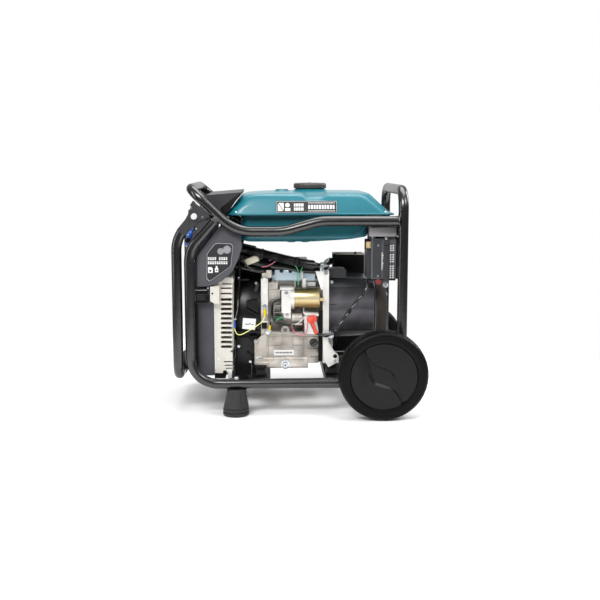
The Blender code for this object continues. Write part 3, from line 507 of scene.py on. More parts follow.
def bolt(bm, at, axis, radius, height, washer=True, kind="hex"):
    """A hexagon or round-headed fastener standing on a surface."""
    at, axis = Vector(at), Vector(axis)
    if washer:
        turned(bm, [(0, 0), (radius * 1.55, 0), (radius * 1.55, 0.0009), (0, 0.0012)], at, axis, 20)
        at = at + axis.normalized() * 0.0008
    if kind == "hex":
        turned(bm, [(0, 0), (radius, 0), (radius, height * 0.8), (radius * 0.86, height), (0, height)], at,
               axis, 6)
    else:
        dome = [(0, 0), (radius, 0), (radius, height * 0.35), (radius * 0.8, height * 0.8),
                (radius * 0.4, height)]
        turned(bm, dome + [(radius * 0.3, height), (radius * 0.3, height * 0.5), (0, height * 0.5)], at, axis,
               18)


def bead(bm, centre, axis, radius, thick):
    """A rippled weld bead round a tube."""
    turn = Vector(axis).to_track_quat("Z", "Y")
    path = []
    for i in range(40):
        a = 2 * math.pi * i / 40
        path.append(Vector(centre) + turn @ Vector((radius * math.cos(a), radius * math.sin(a), 0)))
    sweep(bm, path, lambda t: thick * (1 + 0.25 * math.sin(t * 80)), 8, closed=True)


def oblong(x0, x1, y0, y1, r, count):
    """A rounded rectangle sampled evenly, starting at the middle of its low-y side."""
    w, h = x1 - x0 - 2 * r, y1 - y0 - 2 * r
    arc = math.pi * r / 2
    total = 2 * (w + h) + 4 * arc
    points = []
    for i in range(count):
        d = (i / count * total + w / 2) % total
        for length, kind in ((w, 0), (arc, 1), (h, 2), (arc, 3), (w, 4), (arc, 5), (h, 6), (arc, 7)):
            if d <= length:
                break
            d -= length
        s, c = math.sin(d / r), math.cos(d / r)
        points.append({
            0: (x0 + r + d, y0), 1: (x1 - r + r * s, y0 + r - r * c), 2: (x1, y0 + r + d),
            3: (x1 - r + r * c, y1 - r + r * s), 4: (x1 - r - d, y1), 5: (x0 + r - r * s, y1 - r + r * c),
            6: (x0, y1 - r - d), 7: (x0 + r - r * c, y0 + r - r * s),
        }[kind])
    return points


def lift(obj_points, plane):
    """Places flat (u, v, out) points on a plane given as (origin, u axis, v axis)."""
    origin, u, v = plane
    out = u.cross(v).normalized()
    return [origin + u * p[0] + v * p[1] + out * p[2] for p in obj_points]


def sticker(bm, plane, outline, low, high):
    """A thin flat shape on a plane, from low to high above it."""
    skin(bm, [lift([(u, v, t) for u, v in outline], plane) for t in (low, high)])


def rect(x0, y0, x1, y1):
    """The corners of a flat rectangle."""
    return [(x0, y0), (x1, y0), (x1, y1), (x0, y1)]


def ball(cx, cy, r, count):
    """A flat round outline."""
    return [(cx + r * math.cos(2 * math.pi * i / count), cy + r * math.sin(2 * math.pi * i / count))
            for i in range(count)]


def diag(along, out=0.0):
    """A point beside the sloping part of the front posts."""
    return (FRONT_X + DIAG.x * along - DIAG.y * out, BEND_Z + DIAG.y * along + DIAG.x * out)


# ---------------------------------------------------------------- frame
def mirror_path(near):
    """The near half of a path followed by its mirror image on the far side."""
    return near + [(x, -y, z, *rest) for x, y, z, *rest in reversed(near)]


def build_frame():
    """The bent tube frame, its welds, crossmembers and bolts."""
    top = diag(0.112)
    near = [
        (top[0], -RAIL_Y, top[1], 0), (FRONT_X, -RAIL_Y, BEND_Z, 0.085), (FRONT_X, -RAIL_Y, RAIL_Z, 0.078),
        (REAR_X, -RAIL_Y, RAIL_Z, 0.078), (REAR_X, -RAIL_Y, 0.6405, 0.055),
    ]
    bm = sweep(bmesh.new(), fillet(mirror_path(near), 14), TUBE_R, 28)
    axle_lug = [(0.209, 0.086), (0.262, 0.096), (0.262, 0.14), (0.25, 0.152), (0.219, 0.152), (0.207, 0.14)]
    both_flanks(bm, axle_lug, 0.185, 0.196)
    piece("frame_tube", bm, "tube", replaces=["main_frame"])
    near = [
        (REAR_X - TUBE_R - 0.0006, -RAIL_Y, UPPER_Z, 0), (0.06, -RAIL_Y, UPPER_Z, 0.15),
        (-0.043, -RAIL_Y, 0.527, 0.15), (-0.179, -RAIL_Y, 0.527, 0.12), (-0.3025, -RAIL_Y, 0.645, 0.047),
    ]
    bm = sweep(bmesh.new(), fillet(mirror_path(near), 14), TUBE_R - 0.0001, 28)
    piece("upper_rail_tube", bm, "tube", replaces=["upper_rail"])
    bm = bmesh.new()
    for sign in (-1, 1):
        y = sign * RAIL_Y
        bead(bm, (REAR_X - TUBE_R + 0.0016, y, UPPER_Z), X, TUBE_R - 0.0002, 0.0026)
        end = diag(0.1095)
        bead(bm, (end[0], y, end[1]), (DIAG.x, 0, DIAG.y), TUBE_R - 0.0004, 0.0028)
        for x0, x1 in ((-0.139, -0.082), (0.078, 0.136)):
            sweep(bm, [(x0 + 0.004 + (x1 - x0 - 0.008) * i / 12, sign * 0.1893, 0.1012) for i in range(13)],
                  0.0022, 8)
        for x in (0.209, 0.262):
            sweep(bm, [(x, sign * 0.1915, 0.1 + 0.004 * i) for i in range(3)], 0.0022, 8)
    piece("weld_beads", bm, "tube", angle=60)
    for end in ("front", "rear"):
        keep(f"{end}_crossmember", "black", 0.0008)
    bm = bmesh.new()
    for sign in (-1, 1):
        bolt(bm, (-0.179, sign * 0.2, RAIL_Z + TUBE_R - 0.0006), Z, 0.0062, 0.005)
        bolt(bm, (0.2345, sign * 0.206, RAIL_Z + TUBE_R - 0.001), Z, 0.005, 0.003, kind="round")
        for x in (-0.1095, 0.098):
            bolt(bm, (x, sign * (0.145 if x < 0 else 0.126), 0.0779), -Z, 0.0062, 0.005)
    piece("frame_bolts", bm, "zinc", angle=30)
    bm = bmesh.new()
    for sign in (-1, 1):
        bolt(bm, (-0.231, sign * (RAIL_Y + TUBE_R - 0.0016), 0.562), Vector((0, sign, 0)), 0.0062, 0.0034)
    piece("joint_bolts", bm, "dark_steel", angle=30)
    build_feet()


def build_feet():
    """The two ribbed rubber feet at the control end."""
    profile = [
        (0.0, 0.0), (0.0315, 0.0), (0.0355, 0.0015), (0.0375, 0.0045), (0.0375, 0.0098), (0.034, 0.0108),
        (0.034, 0.0128), (0.0374, 0.0138), (0.0372, 0.0195), (0.0345, 0.0205), (0.0345, 0.0225),
        (0.0358, 0.024), (0.0352, 0.027), (0.032, 0.04), (0.027, 0.0645), (0.0262, 0.0735), (0.024, 0.0762),
        (0.0, 0.0763),
    ]

    def ribs(angle, radius, height):
        wave = max(0.0, math.sin(6 * angle + 0.6)) ** 3
        inside = 1.0 if 0.03 < height < 0.066 else 0.0
        return radius - 0.0034 * wave * inside, height
    for side, sign in (("near", -1), ("far", 1)):
        at = Vector((FOOT[0], sign * FOOT[1], 0))
        bm = turned(bmesh.new(), profile, at, Z, 72, shape=ribs)
        for k in range(4):
            a = math.radians(-118 + 62 * k)
            flank = [at + Vector((math.cos(a) * r, sign * math.sin(a) * r, h))
                     for r, h in ((0.0352, 0.026), (0.0322, 0.04), (0.0274, 0.064))]
            sweep(bm, flank, 0.002, 8, dome=True)
        block(bm, (-0.156, at.y - 0.01, 0.064), (-0.15, at.y + 0.01, 0.076))
        piece(f"foot_{side}_rubber", bm, "rubber", replaces=[f"foot_{side}"], angle=50)


# ---------------------------------------------------------------- wheels
DISC_R = 0.0928
UPPER_EDGE = [(-0.0533, 0.076, 0.0016), (-0.042, 0.0517, 0.0016), (-0.0242, 0.0339, 0.0018),
              (-0.0081, 0.0275, 0.0022), (0.0178, 0.0162, 0.003), (0.0307, 0.0032, 0.006),
              (0.0436, -0.0259, 0.011), (0.0566, -0.0517, 0.013)]
LOWER_EDGE = [(-0.0647, 0.0614, 0.016), (-0.052, 0.0259, 0.015), (-0.042, -0.0032, 0.0116),
              (-0.0262, -0.0218, 0.0086), (-0.0016, -0.0305, 0.0076), (0.021, -0.0386, 0.0062),
              (0.0372, -0.053, 0.0036), (0.0485, -0.076, 0.002)]


def moulded(edge, upward):
    """The top and foot outlines of a plate with a sloping wall, on one side of an edge across the disc."""
    first, second, before, last = (Vector(edge[i]) for i in (0, 1, -2, -1))
    ends = []
    for here, inner in ((first, second), (last, before)):
        while math.hypot(here.x, here.y) < DISC_R:
            here = here + (here - inner).normalized() * 0.001
        ends.append(here)
    line = smooth_path([ends[0]] + [Vector(p) for p in edge[1:-1]] + [ends[1]])
    top, foot = [], []
    for i, here in enumerate(line):
        along = line[min(i + 1, len(line) - 1)] - line[max(i - 1, 0)]
        inward = Vector((along.y, -along.x)).normalized() * (here.z if upward else -here.z)
        for out, point in ((top, Vector((here.x, here.y))), (foot, Vector((here.x, here.y)) + inward)):
            if i in (0, len(line) - 1) or point.length > DISC_R:
                point = point.normalized() * DISC_R
            out.append(point)
    start, end = (math.atan2(line[i].y, line[i].x) for i in (-1, 0))
    turn = (end - start) % (2 * math.pi)
    if not upward:
        turn -= 2 * math.pi
    steps = 72
    arc = [Vector((math.cos(start + turn * k / steps), math.sin(start + turn * k / steps))) * DISC_R
           for k in range(1, steps)]
    return top + arc, foot + arc


def build_wheels():
    """The tyres, their moulded discs and the axle."""
    tyre = [
        (0.0942, -0.0285), (0.0962, -0.0312), (0.099, -0.0318), (0.103, -0.0323), (0.106, -0.0325),
        (0.11, -0.0323), (0.1108, -0.0314), (0.112, -0.0312), (0.113, -0.0315), (0.117, -0.031),
        (0.121, -0.0288), (0.124, -0.025), (0.1258, -0.019), (0.1266, -0.015), (0.125, -0.0142),
        (0.125, -0.0122), (0.1268, -0.0114), (0.127, -0.006), (0.1252, -0.0052), (0.1252, -0.0032),
        (0.127, -0.0024),
    ]
    tyre += [(r, -t) for r, t in reversed(tyre)]

    def tread(angle, radius, height):
        if radius > 0.1235:
            notch = max(0.0, math.sin(44 * angle + height * 260)) ** 6
            return radius - 0.0022 * notch, height
        return radius, height
    plate = [(0.0, -0.0238), (0.0905, -0.0238), (0.0905, -0.018), (0.0944, -0.018), (0.0944, 0.0262),
             (0.0925, 0.027), (0.0885, 0.027), (0.088, 0.0262), (0.0885, -0.015), (0.024, -0.017),
             (0.0185, -0.015), (0.0185, 0.032), (0.018, 0.0325), (0.0086, 0.0325), (0.0084, -0.02),
             (0.0, -0.02)]
    for side, sign in (("near", -1), ("far", 1)):
        hub = Vector((WHEEL.x, sign * WHEEL.y, WHEEL.z))
        axis = Vector((0, sign, 0))
        body = f"wheel_{side}"
        bm = turned(bmesh.new(), tyre, hub, axis, 176, closed=True, shape=tread)
        piece(f"tyre_{side}_rubber", bm, "tyre", body, [f"tyre_{side}"], angle=28)
        bm = turned(bmesh.new(), [(r, -t) for r, t in plate], hub, axis, 96)
        for edge, upward in ((UPPER_EDGE, True), (LOWER_EDGE, False)):
            top, foot = moulded(edge, upward)
            rings = []
            for outline, out in ((top, 0.0292), (foot, 0.0232), (foot, 0.019)):
                rings.append([hub + Vector((-sign * p.x, 0, p.y)) + axis * out for p in outline])
            skin(bm, rings)
        piece(f"disc_{side}_cover", bm, "disc", body, [f"wheel_disc_{side}"], bevel=0.0007,
              angle=24)
    bm = rod(bmesh.new(), (WHEEL.x, -0.2266, WHEEL.z), (WHEEL.x, 0.2266, WHEEL.z), 0.008, 32, 0.001)
    for sign in (-1, 1):
        hoop(bm, (WHEEL.x, sign * 0.1995, WHEEL.z), (0, sign, 0), 0.0084, 0.015, 0, 0.0016, 28)
    piece("axle_bar", bm, "steel", replaces=["axle"])


# ---------------------------------------------------------------- pull handle
def build_handle():
    """The swinging pull handle with its end plates and grip."""
    knee = (HANDLE_X, 0.5084)
    near = [
        (knee[0] + DIAG.x * 0.05, -RAIL_Y, knee[1] + DIAG.y * 0.05, 0), (knee[0], -RAIL_Y, knee[1], 0.095),
        (HANDLE_X, -RAIL_Y, GRIP_Z, 0.042),
    ]
    bm = sweep(bmesh.new(), fillet(mirror_path(near), 14), TUBE_R, 28)
    piece("handle_tube", bm, "tube", "pull_handle", ["pull_handle"])
    outline = [
        (-0.34, 0.533), (-0.319, 0.516), (-0.301, 0.533), (-0.294, 0.54), (-0.288, 0.548), (-0.284, 0.552),
        (-0.274, 0.558), (-0.263, 0.562), (-0.252, 0.566), (-0.248, 0.57), (-0.25, 0.575), (-0.262, 0.588),
        (-0.284, 0.604), (-0.29, 0.612), (-0.294, 0.6135), (-0.299, 0.606), (-0.3025, 0.5995),
        (-0.2978, 0.5962), (-0.2966, 0.589), (-0.3, 0.59), (-0.3062, 0.5885), (-0.308, 0.576),
        (-0.315, 0.563),
    ]
    bm = bmesh.new()
    both_flanks(bm, outline, 0.219, 0.2225)
    both_flanks(bm, [(-0.3335, 0.5275), (-0.3205, 0.5175), (-0.3075, 0.533), (-0.3205, 0.543)], 0.211, 0.22)
    piece("handle_plates", bm, "plate", "pull_handle", bevel=0.0009)
    bm = bmesh.new()
    for sign in (-1, 1):
        out = Vector((0, sign, 0))
        turned(bm, [(0, 0), (0.0085, 0), (0.0085, 0.008), (0.0078, 0.0088), (0.003, 0.009), (0, 0.009)],
               (PIVOT[0], sign * 0.2229, PIVOT[1]), out, 32)
    piece("handle_pins", bm, "pin_zinc")
    bm = bmesh.new()
    for sign in (-1, 1):
        out = Vector((0, sign, 0))
        bolt(bm, (-0.268, sign * 0.2222, 0.5675), out, 0.0036, 0.0022, False, "round")
        stud(bm, (-0.299, sign * 0.2223, 0.5925), out, 0.0033, 0.003, 0.0012, 0.0014, 16)
    piece("handle_rivets", bm, "steel", "pull_handle")
    for side in ("near", "far"):
        keep(f"handle_bracket_{side}", "plate", 0.0006)

    def ribs(angle, radius, height):
        wave = math.sin(height * 2 * math.pi / 0.009)
        return (radius + (0.0004 * wave if abs(height) < 0.098 and radius > 0.0165 else -0.0004), height)
    profile = [(0.015, -0.11), (0.0172, -0.11), (0.018, -0.1075)]
    profile += [(0.0176, -0.1 + 0.0015 * i) for i in range(134)]
    profile += [(0.018, 0.1075), (0.0172, 0.11), (0.015, 0.11)]
    bm = turned(bmesh.new(), profile, (HANDLE_X, 0, GRIP_Z), Y, 36, closed=True, shape=ribs)
    piece("grip_rubber_sleeve", bm, "soft_black", "pull_handle", ["handle_grip"], angle=60)


# ---------------------------------------------------------------- tank
def ease(t):
    """A smooth step from 0 to 1."""
    t = max(0.0, min(1.0, t))
    return t * t * (3 - 2 * t)


def between(rows, steps):
    """Smooth in-between rows of numbers."""
    out = []
    rows = [rows[0]] + rows + [rows[-1]]
    for a, b, c, d in zip(rows, rows[1:], rows[2:], rows[3:]):
        for i in range(steps):
            t = i / steps
            out.append([spline(*values, t) for values in zip(a, b, c, d)])
    out.append(list(rows[-2]))
    return out


def build_tank():
    """The fuel tank: two pressed halves, the filler neck and the ribs."""
    z = SEAM_Z + 0.0002
    flange = [(z, -0.2, 0.2715, -0.196, 0.196, 0.03), (z + 0.0012, -0.2, 0.2715, -0.196, 0.196, 0.03),
              (z + 0.002, -0.1992, 0.2705, -0.1952, 0.1952, 0.0295)]
    body = [
        (z + 0.0026, -0.1972, 0.259, -0.1886, 0.1886, 0.03), (0.58, -0.1964, 0.256, -0.187, 0.187, 0.03),
        (0.6, -0.183, 0.2355, -0.1795, 0.1795, 0.036), (0.6245, -0.16, 0.2105, -0.167, 0.167, 0.042),
        (0.6308, -0.12, 0.202, -0.15, 0.15, 0.045), (0.6335, -0.07, 0.188, -0.122, 0.122, 0.045),
        (0.634, -0.03, 0.15, -0.08, 0.08, 0.045), (0.634, 0.01, 0.09, -0.04, 0.04, 0.035),
    ]
    rings = []
    for h, x0, x1, y0, y1, r in flange + between(body, 6):
        ring = []
        for px, py in oblong(x0, x1, y0, y1, r, 240):
            near = ease((abs(py) - 0.085) / 0.055) * ease((h - 0.606) / 0.016)
            dip = near * ease((px - 0.008) / 0.022) * ease((0.088 - px) / 0.026)
            ring.append((px, py, h - 0.0085 * dip))
        rings.append(ring)
    bm = skin(bmesh.new(), rings)
    piece("tank_top_shell", bm, "teal", replaces=["tank_upper"], angle=50)
    neck = [(0.0, 0.6335), (0.056, 0.6335), (0.052, 0.635), (0.047, 0.6385), (0.044, 0.6405), (0.04, 0.6412),
            (0.035, 0.6412), (0.034, 0.64), (0.0, 0.6395)]
    bm = turned(bmesh.new(), neck, (CAP_X, 0, 0), Z, 72)
    turned(bm, [(0, 0.6335), (0.0245, 0.6335), (0.0215, 0.6362), (0, 0.6365)], GAUGE, Z, 48)
    piece("tank_neck", bm, "teal", angle=50)
    z = SEAM_Z - 0.0002
    low = [
        (z - 0.0034, -0.164, 0.1972, -0.1702, 0.1702, 0.026), (0.53, -0.164, 0.1972, -0.17, 0.17, 0.026),
        (0.514, -0.164, 0.1972, -0.17, 0.17, 0.026), (0.508, -0.1635, 0.1925, -0.1695, 0.1695, 0.026),
        (0.5045, -0.1625, 0.174, -0.168, 0.168, 0.026), (0.5005, -0.16, 0.148, -0.164, 0.164, 0.026),
        (0.496, -0.154, 0.088, -0.156, 0.156, 0.026), (0.4932, -0.14, 0.05, -0.14, 0.14, 0.026),
        (0.4932, -0.07, 0.02, -0.07, 0.07, 0.026),
    ]
    rim = [
        (z, -0.164, 0.1972, -0.1702, 0.1702, 0.026), (z, -0.2, 0.2715, -0.196, 0.196, 0.03),
        (z - 0.0014, -0.2, 0.2715, -0.196, 0.196, 0.03),
        (z - 0.0022, -0.1992, 0.2705, -0.1952, 0.1952, 0.0295),
    ]
    rings = [[(px, py, h) for px, py in oblong(*shape, 240)] for h, *shape in rim + between(low, 4)]
    bm = skin(bmesh.new(), rings)
    piece("tank_bottom_shell", bm, "teal_low", replaces=["tank_lower"], angle=50)
    bm = bmesh.new()
    for sign in (-1, 1):
        for rib in ([(0.19, 0.548), (0.1783, 0.5373), (0.165, 0.524), (0.1545, 0.512), (0.15, 0.506)],
                    [(0.1945, 0.543), (0.1863, 0.5346), (0.1731, 0.5213), (0.164, 0.5115), (0.16, 0.5072)]):
            path = smooth_path([(px, sign * (0.17 if pz > 0.51 else 0.169), pz) for px, pz in rib], 6)
            sweep(bm, path, 0.0018, 10, dome=True)
        sweep(bm, [(px, sign * 0.1702, 0.56) for px in (-0.15, -0.05, 0.05, 0.15)], 0.001, 10, dome=True)
        for px in (-0.02, 0.02):
            turned(bm, [(0, 0.002), (0.013, 0.002), (0.011, -0.0022), (0, -0.0026)],
                   (px, sign * 0.128, 0.4932), Z, 28)
    piece("tank_ribs", bm, "teal_low")
    bm = bmesh.new()
    for sign in (-1, 1):
        for px in (-0.1765, 0.244):
            bolt(bm, (px, sign * 0.1872, 0.5795), Vector((0, sign, 0.2)), 0.0032, 0.0026, False, "round")
    piece("tank_screws", bm, "pin_zinc")
    build_badge()
    build_caps()


def build_badge():
    """A dark badge with generic marks on both sides of the tank; sign makes it read from outside."""
    for side, sign in (("near", 1), ("far", -1)):
        low = Vector((0.022, -sign * 0.1888, 0.577))
        high = Vector((0.022, -sign * 0.1762, 0.611))
        plane = (low, X * sign, (high - low).normalized())
        bm = bmesh.new()
        sticker(bm, plane, oblong(-0.086, 0.086, 0.0005, 0.0355, 0.003, 48), 0.0, 0.0013)
        piece(f"badge_plate_{side}", bm, "decal", angle=40)
        bm = bmesh.new()
        for shape in ([(-0.081, 0.006), (-0.0665, 0.006), (-0.081, 0.028)],
                      [(-0.079, 0.0295), (-0.0648, 0.0295), (-0.0648, 0.008)],
                      ball(-0.054, 0.023, 0.0062, 20), rect(-0.0605, 0.006, -0.046, 0.014)):
            sticker(bm, plane, shape, 0.0012, 0.0016)
        for low, high in (((-0.0845, 0.0015), (0.0845, 0.0021)), ((-0.0845, 0.0339), (0.0845, 0.0345)),
                          ((-0.0845, 0.0015), (-0.0839, 0.0345)), ((0.0839, 0.0015), (0.0845, 0.0345))):
            sticker(bm, plane, rect(*low, *high), 0.0012, 0.0015)
        for u0, v0, u1, v1 in ((-0.036, 0.019, -0.008, 0.028), (-0.036, 0.007, -0.008, 0.016),
                               (0.004, 0.0285, 0.08, 0.0305), (0.004, 0.0115, 0.08, 0.0235),
                               (0.004, 0.005, 0.08, 0.007)):
            cells = round((u1 - u0) / (0.008 if v1 - v0 > 0.01 else 0.0046))
            step = (u1 - u0) / cells
            for i in range(cells):
                u = u0 + i * step
                sticker(bm, plane, rect(u + step * 0.1, v0, u + step * 0.78, v1), 0.0012, 0.0016)
        piece(f"badge_marks_{side}", bm, "white")


def build_caps():
    """The fuel cap and the level gauge."""
    def lobes(angle, radius, height):
        if radius > 0.0455 and height > 0.642:
            return radius - 0.0014 * (0.5 + 0.5 * math.cos(18 * angle)) ** 3, height
        return radius, height
    cap = [
        (0.0, 0.6275), (0.03, 0.6275), (0.03, 0.6416), (0.0455, 0.6416), (0.0482, 0.6424), (0.049, 0.644),
        (0.049, 0.6525), (0.0482, 0.655), (0.0465, 0.6566), (0.044, 0.6573), (0.042, 0.6568), (0.03, 0.657),
        (0.028, 0.6582), (0.0, 0.6585),
    ]
    bm = turned(bmesh.new(), cap, (CAP_X, 0, 0), Z, 144, shape=lobes)
    block(bm, (CAP_X - 0.004, 0.0455, 0.644), (CAP_X + 0.004, 0.0512, 0.653))
    block(bm, (CAP_X - 0.003, -0.024, 0.6575), (CAP_X + 0.003, 0.024, 0.659))
    piece("fuel_cap_body", bm, "cap", "fuel_cap", ["fuel_cap"], angle=40)
    bm = turned(bmesh.new(), [(0, 0.6362), (0.019, 0.6362), (0.019, 0.6378), (0.018, 0.639), (0.0165, 0.6395),
                              (0.015, 0.639), (0.0, 0.6388)], GAUGE, Z, 48)
    piece("gauge_ring", bm, "teal_low", replaces=["fuel_gauge"])
    bm = turned(bmesh.new(), [(0, 0.6385), (0.0148, 0.6385), (0.012, 0.6391), (0, 0.6393)], GAUGE, Z, 48)
    piece("gauge_window", bm, "glass_dark")
    bm = bmesh.new()
    for i in range(5):
        a = math.radians(-60 + 30 * i)
        at = Vector((GAUGE[0] + 0.01 * math.sin(a), 0.01 * math.cos(a), 0.63905))
        block(bm, at - Vector((0.0007, 0.0007, 0)), at + Vector((0.0007, 0.0007, 0.0004)))
    piece("gauge_marks", bm, "white")


# ---------------------------------------------------------------- control end
def build_control_end():
    """The inverter end: panel, side covers, heat sink, base cables, and black blocks painted as shade at the
    base and beside the front posts.
    """
    keep("control_panel", "housing", 0.0012)
    keep("panel_housing", "housing", 0.003, 3)
    for side in ("near", "far"):
        keep(f"side_cover_{side}", "cover", 0.0045, 4)
    keep("top_shroud", "black", 0.001)
    build_fins()
    bm = bmesh.new()
    face = [(-0.2612, 0.6262), (-0.164, 0.6338), (-0.1665, 0.6316), (-0.2185, 0.5922), (-0.2262, 0.566),
            (-0.2275, 0.5568), (-0.2612, 0.5528)]
    both_flanks(bm, face, 0.1845, 0.1868)
    rows = [[(x, y, z) for x, z in ((-0.2612, 0.6264), (-0.164, 0.6342), (-0.164, 0.635), (-0.2612, 0.6274))]
            for y in (-0.1868, 0.1868)]
    skin(bm, rows)
    piece("shroud_face", bm, "plate", bevel=0.0008)
    for side, sign in (("near", 1), ("far", -1)):
        build_decal(side, sign)
        build_plug(side, sign)
    bm = bmesh.new()
    for sign in (-1, 1):
        out = Vector((0, sign, 0))
        bolt(bm, (-0.1965, sign * 0.187, 0.5345), out, 0.0028, 0.002, False, "round")
        bolt(bm, (-0.2475, sign * 0.1722, 0.3655), out, 0.0036, 0.003, False)
        bolt(bm, (-0.172, sign * 0.15, 0.3905), out, 0.003, 0.0028, False)
    piece("cover_screws", bm, "zinc")
    bm = bmesh.new()
    both_flanks(bm, [(-0.2066, 0.1), (-0.194, 0.1), (-0.1923, 0.124), (-0.2026, 0.124)], 0.164, 0.17)
    piece("heatsink_feet", bm, "bright", bevel=0.0006)
    bm = bmesh.new()
    lug = [(-0.252, 0.369), (-0.2253, 0.3715), (-0.226, 0.3191), (-0.2399, 0.3206), (-0.2525, 0.3278)]
    both_flanks(bm, lug, 0.17, 0.189)
    piece("heatsink_lugs", bm, "fins", bevel=0.0008)
    bm = bmesh.new()
    for sign in (-1, 1):
        stud(bm, (-0.2455, sign * 0.1889, 0.35), (0, sign, 0), 0.003, 0.0026, 0.0008, 0.0008, 20)
    # Painted shade: the three black blocks below stand in for shade: a strip beside each front post, and
    # fills in the gaps low under the heat sink and the blower.
    both_flanks(bm, rect(-0.298, 0.125, -0.289, 0.32), 0.16, 0.188)
    both_flanks(bm, [(-0.244, 0.096), (-0.212, 0.096), (-0.209, 0.1145), (-0.244, 0.1145)], 0.12, 0.156)
    both_flanks(bm, rect(-0.186, 0.096, -0.106, 0.13), 0.09, 0.112)
    piece("base_trims", bm, "mesh_black", bevel=0.002)
    bm = bmesh.new()
    for sign in (-1, 1):
        for k in range(3):
            start = Vector((-0.242, sign * (0.15 - 0.008 * k), 0.112 - 0.001 * k))
            loop = [start, start + Vector((0.012, 0, -0.0045)), start + Vector((0.024, 0, 0.001)),
                    start + Vector((0.034, 0, -0.0035)), start + Vector((0.044, sign * -0.01, 0.004))]
            sweep(bm, smooth_path(loop), 0.0027, 12, dome=True)
    piece("base_cables", bm, "cable")
    build_front_face()


def build_fins():
    """The cast heat sink: a base plate with a comb of fins that run from flank to flank."""
    gaps = [(0.1278, 0.003, 0.02), (0.1366, 0.0034, 0.024), (0.1473, 0.0036, 0.026), (0.1776, 0.006, 0.006)]
    gaps += [(0.1914 + 0.01377 * i, 0.008, 0.0335) for i in range(11)]
    gaps += [(0.3464, 0.0046, 0.034), (0.3617, 0.0046, 0.034), (0.3741, 0.0038, 0.03)]
    outline = [(-0.2434, 0.114), (-0.22, 0.114), (-0.218, 0.1215), (-0.1925, 0.1215), (-0.189, 0.1245)]
    for centre, height, depth in gaps:
        nose = -0.1915 + 0.0025 * (centre - 0.114) / 0.278
        low, high, r = centre - height / 2, centre + height / 2, min(0.0022, height * 0.4)
        outline += [(nose, low - r), (nose - r, low), (nose - depth + r, low), (nose - depth, low + r),
                    (nose - depth, high - r), (nose - depth + r, high), (nose - r, high), (nose, high + r)]
    outline += [(-0.185, 0.385), (-0.19, 0.3925), (-0.2434, 0.3925)]
    bm = prism(bmesh.new(), outline, -0.165, 0.165)
    piece("heatsink_casting", bm, "fins", replaces=["inverter_heatsink"], bevel=0.0005)
    bm = bmesh.new()
    prism(bm, [(-0.1938, 0.185), (-0.1872, 0.185), (-0.1862, 0.39), (-0.1928, 0.39)], -0.1642, 0.1642)
    piece("heatsink_web", bm, "casting_dark", bevel=0.0006)
    bm = bmesh.new()
    for z0, z1 in ((0.125, 0.179), (0.186, 0.308), (0.312, 0.388)):
        both_flanks(bm, rect(-0.2415, z0, -0.2395, z1), 0.1655, 0.1664)
    for sign in (-1, 1):
        for z0 in (0.156, 0.324, 0.356):
            stud(bm, (-0.232, sign * 0.165, z0), (0, sign, 0), 0.0036, 0.003, 0.0012, 0.0012, 20)
    piece("heatsink_bosses", bm, "bright")


def build_decal(side, sign):
    """A dark shield with generic marks on a side cover."""
    plane = (Vector((-0.225, -sign * 0.1873, 0.441)), X * sign, Z)

    def spot(points):
        return [(u * sign, v) for u, v in points]
    shield = [
        (-0.0369, -0.0442), (-0.0346, 0.0231), (-0.0139, 0.0493), (-0.0081, 0.0528), (0.0325, 0.0521),
        (0.0386, 0.0472), (0.0397, 0.0414), (0.0337, -0.0122), (0.0308, -0.0161), (-0.025, -0.055),
        (-0.0299, -0.0565), (-0.0366, -0.05),
    ]
    for name, size, low, mat in (("edge", 1.035, 0.0, "decal"), ("line", 1.0, 0.0003, "silver_line"),
                                 ("field", 0.95, 0.0006, "decal")):
        bm = bmesh.new()
        sticker(bm, plane, spot([(0.001 + (u - 0.001) * size, v * size) for u, v in shield]), low,
                low + 0.0004)
        piece(f"shield_{name}_{side}", bm, mat)
    bm = bmesh.new()
    sticker(bm, plane, spot(ball(0.0042, 0.0289, 0.0092, 28)), 0.0009, 0.0013)
    gear = []
    for i in range(56):
        a = 2 * math.pi * i / 56
        r = 0.0122 if (i // 2) % 2 else 0.01
        gear.append((0.0222 + r * math.cos(a), 0.0337 + r * math.sin(a)))
    sticker(bm, plane, spot(gear), 0.0009, 0.0015)
    piece(f"shield_rounds_{side}", bm, "silver_line")
    bm = bmesh.new()
    for row, cells in ((0.0084, (0, 1, 2, 3, 5, 6, 7, 8)), (-0.0034, range(9))):
        for i in cells:
            u, split = -0.0318 + 0.00625 * i, row - 0.0012 + 0.0011 * (i * 2 % 3)
            sticker(bm, plane, spot(rect(u, row - 0.004, u + 0.0044, split)), 0.0009, 0.0013)
            sticker(bm, plane, spot(rect(u, split + 0.0011, u + 0.0044, row + 0.004)), 0.0009, 0.0013)
    can = [(-0.0318, -0.0321), (-0.0185, -0.0321), (-0.0185, -0.0195), (-0.0225, -0.0155), (-0.0318, -0.0155)]
    sticker(bm, plane, spot(can), 0.0009, 0.0013)
    flask = [(-0.0124, -0.0302), (-0.003, -0.0302), (-0.003, -0.0195), (-0.0055, -0.0165), (-0.005, -0.0126),
             (-0.0102, -0.0126), (-0.0098, -0.0165), (-0.0124, -0.0195)]
    sticker(bm, plane, spot(flask), 0.0009, 0.0013)
    piece(f"shield_marks_{side}", bm, "white")
    bm = bmesh.new()
    sticker(bm, plane, spot(rect(-0.0285, -0.0285, -0.0222, -0.0235)), 0.0012, 0.0015)
    sticker(bm, plane, spot(ball(-0.0077, -0.0245, 0.0022, 14)), 0.0012, 0.0015)
    piece(f"shield_spots_{side}", bm, "decal")


